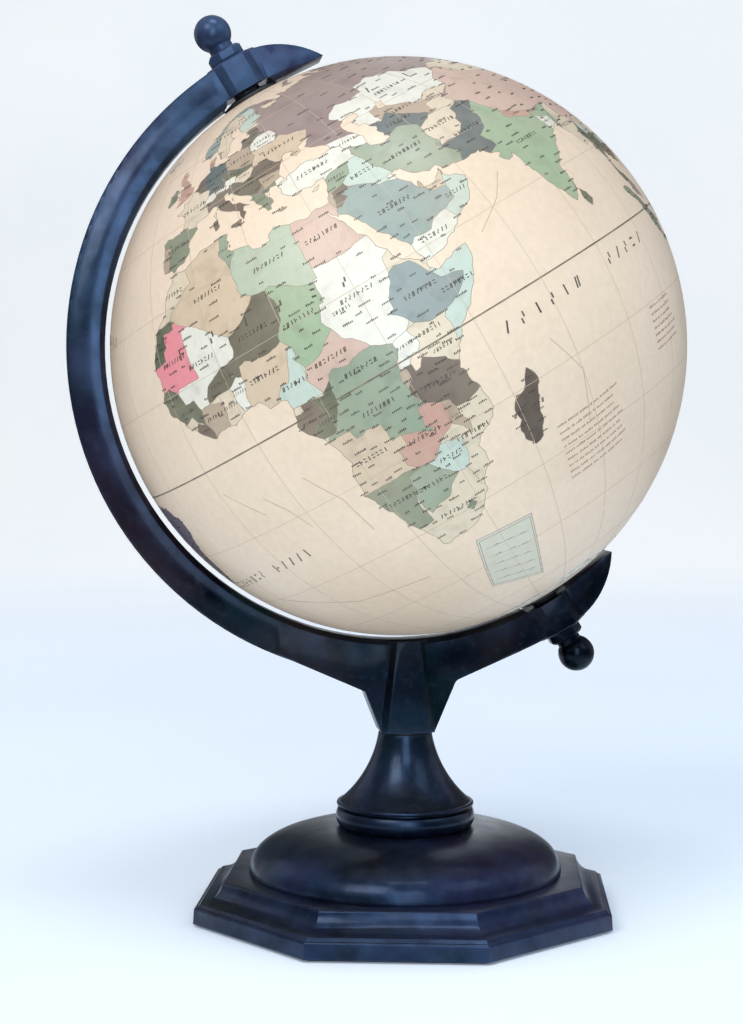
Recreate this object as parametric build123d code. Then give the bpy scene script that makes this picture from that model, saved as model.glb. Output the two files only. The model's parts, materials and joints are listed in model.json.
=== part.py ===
from build123d import *
import os
from math import cos, radians, sin

# Tabletop terrestrial globe: an octagonal base with a domed middle, a trumpet stem, a
# meridian arm with a ball finial at each pole, and a globe that turns on two axle pins.
# Millimetres, +Z up. The origin is the centre of the base's underside, on the stem's axis.
# The base faces -Y. The arm stands in an upright plane, turned about the stem by ARM_TURN.

os.makedirs("parts", exist_ok=True)

# ---- driving dimensions: globe and axis -----------------------------------------------
GLOBE_D = 205.6          # a nominal eight-inch globe, over the printed map
GLOBE_Z = 203.3          # height of the globe's centre
GLOBE_X = -2.7           # globe's centre from the stem's axis, in the arm's plane
AXIS_TILT = 30.9         # lean of the polar axis, north end towards -X
ARM_TURN = 10.9          # turn of the arm about the stem, away from the base's front

# ---- meridian arm ---------------------------------------------------------------------
ARM_INNER_R = 104.2
ARM_OUTER_R = 117.6
ARM_OFFSET = 0.4         # arc's centre from the polar axis, towards the middle of the arm
ARM_DEPTH = 14.0
ARM_INNER_EDGE = 1.8     # chamfer along the inner edges
ARM_OUTER_EDGE = 1.2     # rounding along the outer edges
HORN_ANGLE = 16.0        # each pointed horn runs this far past its pole
HORN_SHOULDER = 3.5      # its back starts to taper here
HORN_ROOT = 6.0          # its underside leaves the inner arc here
HORN_TIP = 2.6           # and ends this far outside that arc
HORN_BOW = (3.2, 6.3)    # the horn's back halfway: depth below the outer arc, and angle
OUTLINE_SPARE = 3.0      # the trimming window is larger than the ring it trims by this
BOSS_ACROSS = 20.0       # octagonal bosses round the poles, across flats
BOSS_INNER = 105.7       # their inner and outer faces, from the globe's centre
BOSS_OUTER = 117.8
BOSS_EDGE = 0.8
COLUMN_FOOT = (19.4, 2.0)    # square column below the arc: width, and cut of its corners
COLUMN_TOP = (17.5, 5.0)
COLUMN_HEIGHT = 36.0
WEB_CORNERS = ((-15.6, 80.6), (17.6, 84.1))    # where the web turns up to the arc, left and right
WEB_ENDS = ((-48.0, 94.9), (41.5, 94.4))       # where it runs out into the arc
WEB_FILLET = 3.0
WEB_SKIN = 2.5           # depth of the web's overlap into the arc

# ---- stem and base --------------------------------------------------------------------
NECK_Z = 64.8
NECK_R = 9.7
WAIST = (13.6, 52.8)     # radius and height halfway down the trumpet
FLARE = (23.8, 40.0)     # radius and height where the trumpet meets its foot
STEM_FOOT_R = 24.9
STEM_FOOT_Z = 38.4
COLLAR_R = 25.2
COLLAR_Z = 30.8
COLLAR_ROUND = 1.6       # rounding of the collar's rim, lower and upper
COLLAR_LIP = 0.9
GROOVE = 0.9             # height and depth of the groove between stem foot and collar
GROOVE_DEPTH = 2.4
FOOT_ROUND = (0.4, 0.8)  # rounding of the stem's foot, across and up
SPIGOT_R = 9.0
SPIGOT_DROP = 5.0        # the spigot's length below the collar
DOME_R = 56.6
DOME_RISE = 17.2
DOME_FULLNESS = 0.7      # handles of the dome's curve, as a share of its radius and rise
DOME_WALL = 3.2
PLINTH_FLATS = 146.6     # octagonal plinth, across flats at its foot and at its top
PLINTH_TOP_FLATS = 125.6
PLINTH_Z = 14.8
FASCIA_Z = 6.8           # height of the upright band round the foot
LEDGE = 1.4              # step between that band and the cove
FASCIA_ROUND = 0.9       # rounding of the band's upper edge
COVE_LIP = 1.0           # upright lips at the cove's foot and top
COVE_BOW = (-1.3, -1.0)  # how far the cove is hollowed, across and up
PLINTH_ROUND = 0.8       # rounding of the plinth's upper edge
PLINTH_WALL = 4.0
COVE_WALL = 3.0
PLATE = 3.0              # thickness of the plinth's top plate
FELT = 1.0
FELT_INSET = 2.5
COVER = 3.0
COVER_GAP = 0.2
POST_RADIUS = 58.0       # circle of the four screw posts
POST_R = 4.0
WEIGHT_R = 50.0
WEIGHT_HUB_R = 24.0
WEIGHT_HUB = 8.0         # how far the hub rises into the dome
WEIGHT_GAP = 0.4         # above the bottom cover
POCKET_R = 13.0          # pocket for the tie rod's washers and nut
POCKET_RISE = 2.8        # how far the pocket rises above the plate's underside

# ---- hardware and fits ----------------------------------------------------------------
ROD_R = 3.0              # M6 tie rod
PIN_R = 2.0              # 4 mm axle pins
PIN_EDGE = 0.4
ROD_EDGE = 0.5
ROD_ABOVE_COVER = 1.2
ROD_REACH = 20.0         # length of the rod inside the column
SCREW_R = 1.3
SCREW_HEAD_R = 3.0
SCREW_HEAD = 1.6
SCREW_SHORT = 2.0        # the screw stops this far below the plate
SLOT = (5.0, 0.7, 0.6)
COUNTERSINK_R = 3.2
COUNTERSINK = 1.7
WASHER_R = 9.0
WASHER = 1.6
WASHER_GAP = 0.3
SPRING_R = 7.5           # conical spring washer
SPRING = 0.8             # its thickness
SPRING_CONE = 0.6        # and the height of its cone
SPRING_STACK = 3.0       # from the weight's pocket down to its underside
NUT_FLATS_R = 5.0
NUT_CORNER_R = 5.6
NUT = 5.0
THREAD_GAP = 0.02        # radial gap between a thread or glued joint and its seat
RUNNING_GAP = 0.05       # radial gap of a turning fit
LOOSE_GAP = 0.5          # radial gap of a hole that only lets a rod pass
END_GAP = 0.05           # end float of the turning parts
BUSH_R = 5.0
BUSH_FLANGE = 0.8
BUSH_SHY = 0.7           # the flange stands this far inside the neck
BUSH_LENGTH = 12.0
INSERT_R = 5.5
INSERT_LENGTH = 14.0
SPACER_R = 5.0
MAP_PAPER = 0.25
SHELL = 1.8
POLE_CAP_R = 10.5
POLE_CAP_FACE = 104.4    # outer face of a pole bush, from the globe's centre
POLE_CAP_EDGE = (3.0, 1.0)
POLE_TUBE_R = 4.0
POLE_TUBE_END = 92.0
SEAM_RING = (2.0, 14.0)  # thickness and width of the joining ring
PIN_INNER = 90.5
PIN_OUTER = 125.0
BALL_R = 6.6
BALL_AT = 129.0          # centre of a finial's ball, from the globe's centre
COLLAR_NUT = 12.4        # octagonal collar below the ball, across flats
COLLAR_NUT_T = 4.4
COLLAR_NUT_EDGE = 0.9
COLLAR_NUT_SEAT = 1.0    # the flat spot under it is larger by this
FINIAL_NECK_R = 4.4

# ---- worked out from them -------------------------------------------------------------
GLOBE_R = GLOBE_D / 2
SHELL_R = GLOBE_R - MAP_PAPER - THREAD_GAP
COVER_TOP = FELT + COVER
PLATE_Z = PLINTH_Z - PLATE
WEIGHT_Z = COVER_TOP + WEIGHT_GAP
WEIGHT_TOP = PLATE_Z + WEIGHT_HUB
POCKET_TOP = PLATE_Z + POCKET_RISE
COLUMN_Z = NECK_Z + BUSH_FLANGE + END_GAP
ROD_TOP = COLUMN_Z + ROD_REACH
SPIGOT_Z = COLLAR_Z - SPIGOT_DROP

TILT = radians(AXIS_TILT)
NORTH = Plane(
    origin=(GLOBE_X, 0, GLOBE_Z),
    x_dir=(-cos(TILT), 0, -sin(TILT)),
    z_dir=(-sin(TILT), 0, cos(TILT)),
).location
TURN = Rot(0, 0, ARM_TURN)
FLIP = Rot(0, 180, 0)


# ---- shared shapes --------------------------------------------------------------------
def octagon(across):
    """Octagon with flats facing along X and Y."""
    return RegularPolygon(across / 2, 8, major_radius=False, rotation=22.5)


def block(outline, low, high):
    """An outline in the XY plane, carried from one height to another."""
    return Pos(0, 0, low) * extrude(outline, amount=high - low)


def disc(radius, low, high):
    return block(Circle(radius), low, high)


def ring(inner, outer, low, high):
    return block(Circle(outer) - Circle(inner), low, high)


def turned(*outline):
    """Revolve a closed outline of (radius, height) edges about Z."""
    return revolve(Plane.XZ * make_face(Wire(list(outline))), axis=Axis.Z)


def turned_polygon(*points):
    return revolve(Plane.XZ * make_face(Polyline(*points, close=True)), axis=Axis.Z)


def bowed(start, end, across, up):
    """Arc between two points, its middle moved off their midpoint."""
    middle = ((start[0] + end[0]) / 2 + across, (start[1] + end[1]) / 2 + up)
    return ThreePointArc(start, middle, end)


def screw_places():
    """Four places on the diagonals of the base."""
    return PolarLocations(POST_RADIUS, 4, start_angle=22.5)


# ---- base -----------------------------------------------------------------------------
def plinth_section():
    """Upright section through the plinth: fascia, ledge and cove on both sides."""
    foot = PLINTH_FLATS / 2
    top = PLINTH_TOP_FLATS / 2
    ledge = foot - LEDGE
    fascia_high = (foot - FASCIA_ROUND / 3, FASCIA_Z - FASCIA_ROUND)
    cove_low = (ledge - COVE_LIP, FASCIA_Z + COVE_LIP)
    cove_high = (top + COVE_LIP / 2, PLINTH_Z - PLINTH_ROUND)
    plate_edge = (top - COVE_LIP / 2, PLINTH_Z)
    half = make_face(
        Wire(
            [
                Line((0, FELT), (foot, FELT)),
                Line((foot, FELT), fascia_high),
                bowed(fascia_high, (ledge, FASCIA_Z), FASCIA_ROUND / 4, FASCIA_ROUND / 4),
                Line((ledge, FASCIA_Z), cove_low),
                bowed(cove_low, cove_high, *COVE_BOW),
                bowed(cove_high, plate_edge, PLINTH_ROUND / 4, PLINTH_ROUND / 4),
                Line(plate_edge, (0, PLINTH_Z)),
                Line((0, PLINTH_Z), (0, FELT)),
            ]
        )
    )
    return half + mirror(half, about=Plane.YZ)


def base_plinth():
    """Moulded octagonal tray: four crossed bars share the same stepped section."""
    bar = extrude(Plane.XZ * plinth_section(), amount=PLINTH_FLATS, both=True)
    body = bar
    for step in range(1, 4):
        body = body & (Rot(0, 0, 45 * step) * bar)
    body -= block(octagon(PLINTH_FLATS - 2 * PLINTH_WALL), FELT, COVER_TOP)
    body -= block(octagon(PLINTH_TOP_FLATS - 2 * COVE_WALL), COVER_TOP, PLATE_Z)
    for place in screw_places():
        body += place * disc(POST_R, COVER_TOP, PLATE_Z)
        body -= place * disc(SCREW_R + THREAD_GAP, COVER_TOP, PLATE_Z)
    return body - disc(WEIGHT_HUB_R + LOOSE_GAP, PLATE_Z, PLINTH_Z)


def domed(radius, rise):
    """Half of a flattened dome with full shoulders, standing on the plinth."""
    rim = (radius, 0)
    top = (0, rise)
    steep = (radius, DOME_FULLNESS * rise)
    level = (DOME_FULLNESS * radius, rise)
    half = turned(Bezier(rim, steep, level, top), Line(top, (0, 0)), Line((0, 0), rim))
    return Pos(0, 0, PLINTH_Z) * half


def base_dome():
    shell = domed(DOME_R, DOME_RISE) - domed(DOME_R - DOME_WALL, DOME_RISE - DOME_WALL)
    shell -= disc(DOME_R, COLLAR_Z, PLINTH_Z + DOME_RISE)
    return shell - disc(SPIGOT_R, PLINTH_Z, COLLAR_Z)


def stem_collar():
    """Rounded ring under the stem, with a raised land that leaves a groove outside it."""
    top = STEM_FOOT_Z - GROOVE
    low_rim = (COLLAR_R - COLLAR_ROUND, COLLAR_Z)
    top_rim = (COLLAR_R - COLLAR_LIP, top)
    body = turned(
        Line((SPIGOT_R, COLLAR_Z), low_rim),
        ThreePointArc(low_rim, (COLLAR_R, (COLLAR_Z + top) / 2), top_rim),
        Line(top_rim, (SPIGOT_R, top)),
        Line((SPIGOT_R, top), (SPIGOT_R, COLLAR_Z)),
    )
    return body + ring(SPIGOT_R, COLLAR_R - GROOVE_DEPTH, top, STEM_FOOT_Z)


def stem():
    """Trumpet-shaped stem with a centring spigot that passes through collar and dome."""
    bore = ROD_R + LOOSE_GAP
    spigot = SPIGOT_R - THREAD_GAP
    across, up = FOOT_ROUND
    foot = (STEM_FOOT_R - across, STEM_FOOT_Z)
    body = turned(
        Line((bore, SPIGOT_Z), (spigot, SPIGOT_Z)),
        Line((spigot, SPIGOT_Z), (spigot, STEM_FOOT_Z)),
        Line((spigot, STEM_FOOT_Z), foot),
        ThreePointArc(foot, (STEM_FOOT_R, STEM_FOOT_Z + up), FLARE),
        ThreePointArc(FLARE, WAIST, (NECK_R, NECK_Z)),
        Line((NECK_R, NECK_Z), (bore, NECK_Z)),
        Line((bore, NECK_Z), (bore, SPIGOT_Z)),
    )
    return body - disc(BUSH_R + THREAD_GAP, NECK_Z - BUSH_LENGTH, NECK_Z)


def stem_bush():
    """Flanged nylon bush: the tie rod and the arm turn in it and on it."""
    bore = ROD_R + RUNNING_GAP
    tube = ring(bore, BUSH_R, NECK_Z - BUSH_LENGTH, NECK_Z)
    return tube + ring(bore, NECK_R - BUSH_SHY, NECK_Z, NECK_Z + BUSH_FLANGE)


def base_weight():
    """Cast disc under the plate, with a hub rising into the dome and a nut pocket below."""
    body = disc(WEIGHT_R, WEIGHT_Z, PLATE_Z) + disc(WEIGHT_HUB_R, PLATE_Z, WEIGHT_TOP)
    body -= disc(POCKET_R, WEIGHT_Z, POCKET_TOP)
    return body - disc(ROD_R + LOOSE_GAP, POCKET_TOP, WEIGHT_TOP)


def bottom_cover():
    """Fibreboard cover with four countersunk holes."""
    hole = SCREW_R + LOOSE_GAP / 2
    sink = Pos(0, 0, FELT + COUNTERSINK / 2) * Cone(COUNTERSINK_R, hole, COUNTERSINK)
    body = block(octagon(PLINTH_FLATS - 2 * (PLINTH_WALL + COVER_GAP)), FELT, COVER_TOP)
    for place in screw_places():
        body -= place * disc(hole, FELT, COVER_TOP)
        body -= place * sink
    return body


def cover_screws():
    """Four countersunk self-tapping screws, one solid each."""
    head = Pos(0, 0, FELT + SCREW_HEAD / 2) * Cone(SCREW_HEAD_R, SCREW_R, SCREW_HEAD)
    slot = Pos(0, 0, FELT + SLOT[2] / 2) * Box(*SLOT)
    screw = head + disc(SCREW_R, FELT + SCREW_HEAD, PLATE_Z - SCREW_SHORT) - slot
    return [place * screw for place in screw_places()]


def felt_pad():
    return block(octagon(PLINTH_FLATS - 2 * FELT_INSET), 0, FELT)


def rod_washer():
    return ring(ROD_R + WASHER_GAP, WASHER_R, POCKET_TOP - WASHER, POCKET_TOP)


# ---- tie rod, turning with the arm ----------------------------------------------------
def spring_washer():
    """Conical spring washer that holds the swivel's friction."""
    low = POCKET_TOP - SPRING_STACK - END_GAP
    bore = ROD_R + WASHER_GAP
    raised = low + SPRING_CONE
    return turned_polygon(
        (bore, low),
        (bore + 1.0, low),
        (SPRING_R, raised),
        (SPRING_R, raised + SPRING),
        (SPRING_R - 1.0, raised + SPRING),
        (bore, low + SPRING),
    )


def tie_rod_nut():
    """Hexagonal nut with its corners turned down."""
    top = POCKET_TOP - SPRING_STACK - 2 * END_GAP
    low = top - NUT
    blank = block(RegularPolygon(NUT_FLATS_R, 6, major_radius=False), low, top)
    blank = blank & disc(NUT_CORNER_R, low, top)
    return blank - disc(ROD_R + THREAD_GAP, low, top)


def tie_rod():
    return chamfer(disc(ROD_R, COVER_TOP + ROD_ABOVE_COVER, ROD_TOP).edges(), ROD_EDGE)


def arm_insert():
    """Brass threaded insert in the foot of the column."""
    body = ring(ROD_R + THREAD_GAP, INSERT_R - THREAD_GAP, COLUMN_Z, COLUMN_Z + INSERT_LENGTH)
    return TURN * body


# ---- meridian arm ---------------------------------------------------------------------
def arc_point(radius, angle):
    """Point on the arm, at an angle from its north end towards its middle, as (x, z)."""
    across = ARM_OFFSET + radius * sin(radians(angle))
    along = radius * cos(radians(angle))
    x = GLOBE_X - along * sin(TILT) - across * cos(TILT)
    z = GLOBE_Z + along * cos(TILT) - across * sin(TILT)
    return (x, z)


def arc_disc(radius):
    """Disc about the arc's centre, drawn in the arm's plane."""
    return Pos(*arc_point(0, 0)) * Circle(radius)


def horn_side(pole_angle, past):
    """Curved back of one horn, from its shoulder on the outer arc to its blunt tip."""
    shoulder = arc_point(ARM_OUTER_R, pole_angle + past * HORN_SHOULDER)
    depth, angle = HORN_BOW
    middle = arc_point(ARM_OUTER_R - depth, pole_angle + past * (HORN_SHOULDER + angle))
    tip = arc_point(ARM_INNER_R + HORN_TIP, pole_angle + past * HORN_ANGLE)
    return ThreePointArc(shoulder, middle, tip)


def arm_outline():
    """Window over the arm's plane that leaves the crescent between the two horn tips."""
    inside = ARM_INNER_R - OUTLINE_SPARE
    outside = ARM_OUTER_R + OUTLINE_SPARE
    top_back = horn_side(0, -1)
    low_back = horn_side(180, 1)
    top_root = arc_point(ARM_INNER_R, -HORN_ROOT)
    low_root = arc_point(ARM_INNER_R, 180 + HORN_ROOT)
    top_inner = arc_point(inside, -HORN_ROOT)
    low_inner = arc_point(inside, 180 + HORN_ROOT)
    top_outer = arc_point(outside, -HORN_SHOULDER)
    low_outer = arc_point(outside, 180 + HORN_SHOULDER)
    edges = [
        ThreePointArc(top_inner, arc_point(inside, 90), low_inner),
        Line(low_inner, low_root),
        Line(low_root, low_back @ 1),
        low_back,
        Line(low_back @ 0, low_outer),
        ThreePointArc(low_outer, arc_point(outside, 90), top_outer),
        Line(top_outer, top_back @ 0),
        top_back,
        Line(top_back @ 1, top_root),
        Line(top_root, top_inner),
    ]
    return make_face(Wire(edges))


def arm_ring():
    """Full ring with the arm's cross-section: chamfered inside, rounded outside."""
    width = ARM_OUTER_R - ARM_INNER_R
    section = Rectangle(width, ARM_DEPTH)
    inside = section.vertices().group_by(Axis.X)[0]
    section = chamfer(inside, ARM_INNER_EDGE)
    outside = section.vertices().group_by(Axis.X)[-1]
    section = fillet(outside, ARM_OUTER_EDGE)
    placed = Pos((ARM_INNER_R + ARM_OUTER_R) / 2, 0, 0) * section
    x, z = arc_point(0, 0)
    return Pos(x, 0, z) * revolve(placed, axis=Axis.Y)


def arm_web():
    """Flared web under the arc, running out into it on both sides."""
    left, right = WEB_CORNERS
    left_end, right_end = WEB_ENDS
    foot = COLUMN_FOOT[0] / 2
    feet = ((-foot, COLUMN_Z), (foot, COLUMN_Z))
    flare = make_face(Polyline(*feet, right, right_end, left_end, left, close=True))
    corners = [point for point in flare.vertices() if (point.X, point.Y) in WEB_CORNERS]
    flare = fillet(corners, WEB_FILLET)
    skin = flare - arc_disc(ARM_OUTER_R - WEB_SKIN)
    return extrude(Plane.XZ * skin, amount=ARM_DEPTH / 2, both=True)


def cut_square(width, corner):
    """Square with its corners cut off, facing along X and Y."""
    return chamfer(Rectangle(width, width).vertices(), corner)


def arm_column():
    """Column with cut corners, slimmer upwards, stopped just below the arc's inner face."""
    foot = Pos(0, 0, COLUMN_Z) * cut_square(*COLUMN_FOOT)
    head = Pos(0, 0, COLUMN_Z + COLUMN_HEIGHT) * cut_square(*COLUMN_TOP)
    clear = Plane.XZ * arc_disc(ARM_INNER_R + LOOSE_GAP)
    return loft([foot, head]) - extrude(clear, amount=COLUMN_FOOT[0], both=True)


def pole_boss():
    """Octagonal boss round the polar axis, with its thin edges taken off."""
    boss = block(octagon(BOSS_ACROSS), BOSS_INNER, BOSS_OUTER)
    return chamfer(boss.edges().group_by(Axis.Z)[-1], BOSS_EDGE)


def boss_cutter():
    """What is cut away round a pole: the inner face, the finial's seat and the pin's bore."""
    under = ARM_INNER_R - OUTLINE_SPARE
    over = BOSS_OUTER + OUTLINE_SPARE
    cut = disc(POLE_CAP_R + LOOSE_GAP, under, BOSS_INNER)
    cut += disc(COLLAR_NUT / 2 + COLLAR_NUT_SEAT, BOSS_OUTER, over)
    return cut + disc(PIN_R + THREAD_GAP, BOSS_INNER - 1.0, BOSS_OUTER + 1.0)


def meridian_arm():
    """One moulding: crescent, web, column and the two pole bosses."""
    crescent = arm_ring() & extrude(Plane.XZ * arm_outline(), amount=ARM_DEPTH, both=True)
    body = crescent + arm_web() + arm_column()
    for end in (Location(), FLIP):
        body += NORTH * end * pole_boss()
        body -= NORTH * end * boss_cutter()
    body -= disc(INSERT_R, COLUMN_Z, COLUMN_Z + INSERT_LENGTH)
    body -= disc(ROD_R + LOOSE_GAP, COLUMN_Z, ROD_TOP + 1.0)
    return TURN * body


def axle_pin():
    return chamfer(disc(PIN_R, PIN_INNER, PIN_OUTER).edges(), PIN_EDGE)


def pole_spacer():
    return ring(PIN_R + RUNNING_GAP, SPACER_R, POLE_CAP_FACE + END_GAP, BOSS_INNER - END_GAP)


def finial():
    """Ball on a short neck, over an octagonal collar that bears on the boss."""
    collar = block(octagon(COLLAR_NUT), BOSS_OUTER, BOSS_OUTER + COLLAR_NUT_T)
    levels = collar.edges().group_by(Axis.Z)
    collar = chamfer(levels[0] + levels[-1], COLLAR_NUT_EDGE)
    body = collar + disc(FINIAL_NECK_R, BOSS_OUTER, BALL_AT)
    body += Pos(0, 0, BALL_AT) * Sphere(BALL_R)
    return body - disc(PIN_R + THREAD_GAP, BOSS_OUTER - 1.0, PIN_OUTER + LOOSE_GAP)


# ---- globe ----------------------------------------------------------------------------
def half_shell(inner, outer):
    """Northern half of a spherical shell, with the hole for its pole bush."""
    shell = Sphere(outer) - Sphere(inner)
    north = Pos(0, 0, outer) * Box(3 * outer, 3 * outer, 2 * outer)
    return (shell & north) - disc(POLE_TUBE_R + THREAD_GAP, 0, 2 * outer)


def globe_half():
    return half_shell(SHELL_R - SHELL, SHELL_R)


def map_half():
    """Printed paper map, pasted over one half of the globe."""
    return half_shell(GLOBE_R - MAP_PAPER, GLOBE_R)


def seam_ring():
    """Glued joining ring inside the equator."""
    thickness, width = SEAM_RING
    outer = SHELL_R - SHELL - THREAD_GAP
    zone = Sphere(outer) - Sphere(outer - thickness)
    return zone & Box(3 * outer, 3 * outer, width)


def pole_bush():
    """Nylon bush with a wide cap that follows the globe's surface."""
    bore = PIN_R + RUNNING_GAP
    across, up = POLE_CAP_EDGE
    under = GLOBE_R - 1.0
    cap = turned_polygon(
        (bore, under),
        (POLE_CAP_R, under),
        (POLE_CAP_R, POLE_CAP_FACE - up),
        (POLE_CAP_R - across, POLE_CAP_FACE),
        (bore, POLE_CAP_FACE),
    )
    cap -= Sphere(GLOBE_R + THREAD_GAP)
    return cap + ring(bore, POLE_TUBE_R, POLE_TUBE_END, GLOBE_R + LOOSE_GAP)


# ---- write one file per piece ---------------------------------------------------------
def at_poles(shape):
    """The same piece at the north and south ends of the polar axis."""
    return [TURN * NORTH * shape, TURN * NORTH * FLIP * shape]


def write(name, shape):
    """Write one piece; a list of like solids goes into one file."""
    if isinstance(shape, list):
        shape = Compound(children=shape)
    export_step(shape, f"parts/{name}.step")


def write_pair(north_name, south_name, shape):
    for name, placed in zip((north_name, south_name), at_poles(shape)):
        write(name, placed)


write("base_plinth", base_plinth())
write("base_dome", base_dome())
write("stem_collar", stem_collar())
write("stem", stem())
write("stem_bush", stem_bush())
write("base_weight", base_weight())
write("bottom_cover", bottom_cover())
write("cover_screws", cover_screws())
write("felt_pad", felt_pad())
write("rod_washer", rod_washer())
write("spring_washer", spring_washer())
write("tie_rod_nut", tie_rod_nut())
write("tie_rod", tie_rod())
write("arm_insert", arm_insert())
write("meridian_arm", meridian_arm())
write_pair("north_axle_pin", "south_axle_pin", axle_pin())
write_pair("north_spacer", "south_spacer", pole_spacer())
write_pair("top_finial", "bottom_finial", finial())
write_pair("north_hemisphere", "south_hemisphere", globe_half())
write_pair("north_map", "south_map", map_half())
write_pair("north_pole_bush", "south_pole_bush", pole_bush())
write("seam_ring", TURN * NORTH * seam_ring())
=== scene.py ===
import json
import math
import random

import bmesh
import bpy
import numpy as np
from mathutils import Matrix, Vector, geometry


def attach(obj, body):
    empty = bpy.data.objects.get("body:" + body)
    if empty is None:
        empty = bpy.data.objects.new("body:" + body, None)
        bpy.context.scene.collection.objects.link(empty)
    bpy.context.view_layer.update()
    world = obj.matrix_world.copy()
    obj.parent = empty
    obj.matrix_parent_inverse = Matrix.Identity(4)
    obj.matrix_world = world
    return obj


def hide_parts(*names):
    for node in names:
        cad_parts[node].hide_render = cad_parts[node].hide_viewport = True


# Looks of a tabletop globe: near-black lacquered stand, and a ball printed with a world map on
# aged parchment. The map is real geometry. Each half of the ball is a triangulated sheet whose
# triangles follow the coasts and borders below, and the ink (coasts, borders, grid, equator and
# stand-ins for the lettering) is a set of thin bars on its surface. Metres, CAD frame.

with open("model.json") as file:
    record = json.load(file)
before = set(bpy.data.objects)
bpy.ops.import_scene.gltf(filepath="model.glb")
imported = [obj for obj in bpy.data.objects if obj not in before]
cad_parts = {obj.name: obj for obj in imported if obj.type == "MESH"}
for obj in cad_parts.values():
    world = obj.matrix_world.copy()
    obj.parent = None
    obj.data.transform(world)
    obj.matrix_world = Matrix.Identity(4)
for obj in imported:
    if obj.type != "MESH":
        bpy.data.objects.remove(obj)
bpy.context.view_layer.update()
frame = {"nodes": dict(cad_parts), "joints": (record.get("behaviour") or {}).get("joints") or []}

MM = 0.001

# ---- camera and light -------------------------------------------------------------------
CAMERA_AT = Vector((26.4, -678.3, 172.8)) * MM
CAMERA_TURN = math.radians(3.26)
CAMERA_DROP = math.radians(2.37)
CAMERA_LENS = 66.0
AIR = (226, 236, 252)      # what the camera sees beyond the floor
AIR_GLOW = 0.9

# ---- the printed globe ------------------------------------------------------------------
WEST_OF_ARM = -50.3      # longitude that faces the middle of the meridian arm
POLE_HOLE = 2.3          # degrees; the paper stops here, under the pole bush's cap
GRID_STEP = 1.6          # degrees between the sheet's own points
COAST_WANDER = 0.13      # how far a coast strays from its outline, per length
BORDER_WANDER = 0.07
SMOOTHEST = 1.1          # degrees; outlines are divided down to this
PAPER = 0.25 * MM
INK_RISE = 0.03 * MM
INK_SINK = 0.06 * MM
COAST_INK = 0.17 * MM
BORDER_INK = 0.13 * MM
GRID_INK = 0.16 * MM
GRID_DEGREES = 15
EQUATOR_INK = 0.5 * MM
FLOW_INK = 0.16 * MM     # currents and sea routes
FRAME_INK = 0.22 * MM    # the inset panel's double frame
RULE_INK = 0.14 * MM     # the rules inside it
INK_STEP = 1.5           # degrees; long lines are cut in bars of this length
NAME_SIZE = 1.3 * MM     # the tallest mark of a country's name
NAME_REACH = 4 * MM      # smaller lands go without a name
TOWN_SIZE = 0.74 * MM
TOWNS = 620              # on each half
TOWN_TRIES = 6           # for each of them
TOWN_GAP = 3.4 * MM
NOTE_SIZE = 0.8 * MM
INSET_SIZE = 0.6 * MM
INSET_CELLS = 8          # the inset panel's own rows and columns
MARK_PITCH = 0.82        # of a small mark's height
MARK_WIDTH = 0.62        # of its pitch
SHORT = 0.7              # height of a short mark beside a tall one, and width of a stroke mark
NOTE_PITCH = 0.8         # of a note mark's height
NOTE_WIDTH = 0.5
SHARP = math.radians(28)  # edges sharper than this are rounded

TINTS = {
    "sea": (240, 213, 183),
    "sand": (226, 205, 174),
    "cream": (236, 228, 209),
    "peach": (216, 188, 156),
    "blush": (212, 176, 156),
    "rose": (200, 150, 130),
    "pink": (240, 134, 142),
    "tan": (184, 158, 132),
    "umber": (106, 88, 72),
    "bark": (62, 43, 36),
    "ash": (96, 90, 70),
    "olive": (92, 98, 72),
    "moss": (124, 132, 104),
    "fern": (146, 158, 130),
    "leaf": (154, 176, 138),
    "sage": (184, 192, 164),
    "mist": (196, 208, 190),
    "haze": (140, 158, 150),
    "slate": (135, 146, 141),
    "pine": (74, 92, 92),
    "lilac": (100, 92, 108),
    "rust": (154, 130, 122),
}

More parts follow.
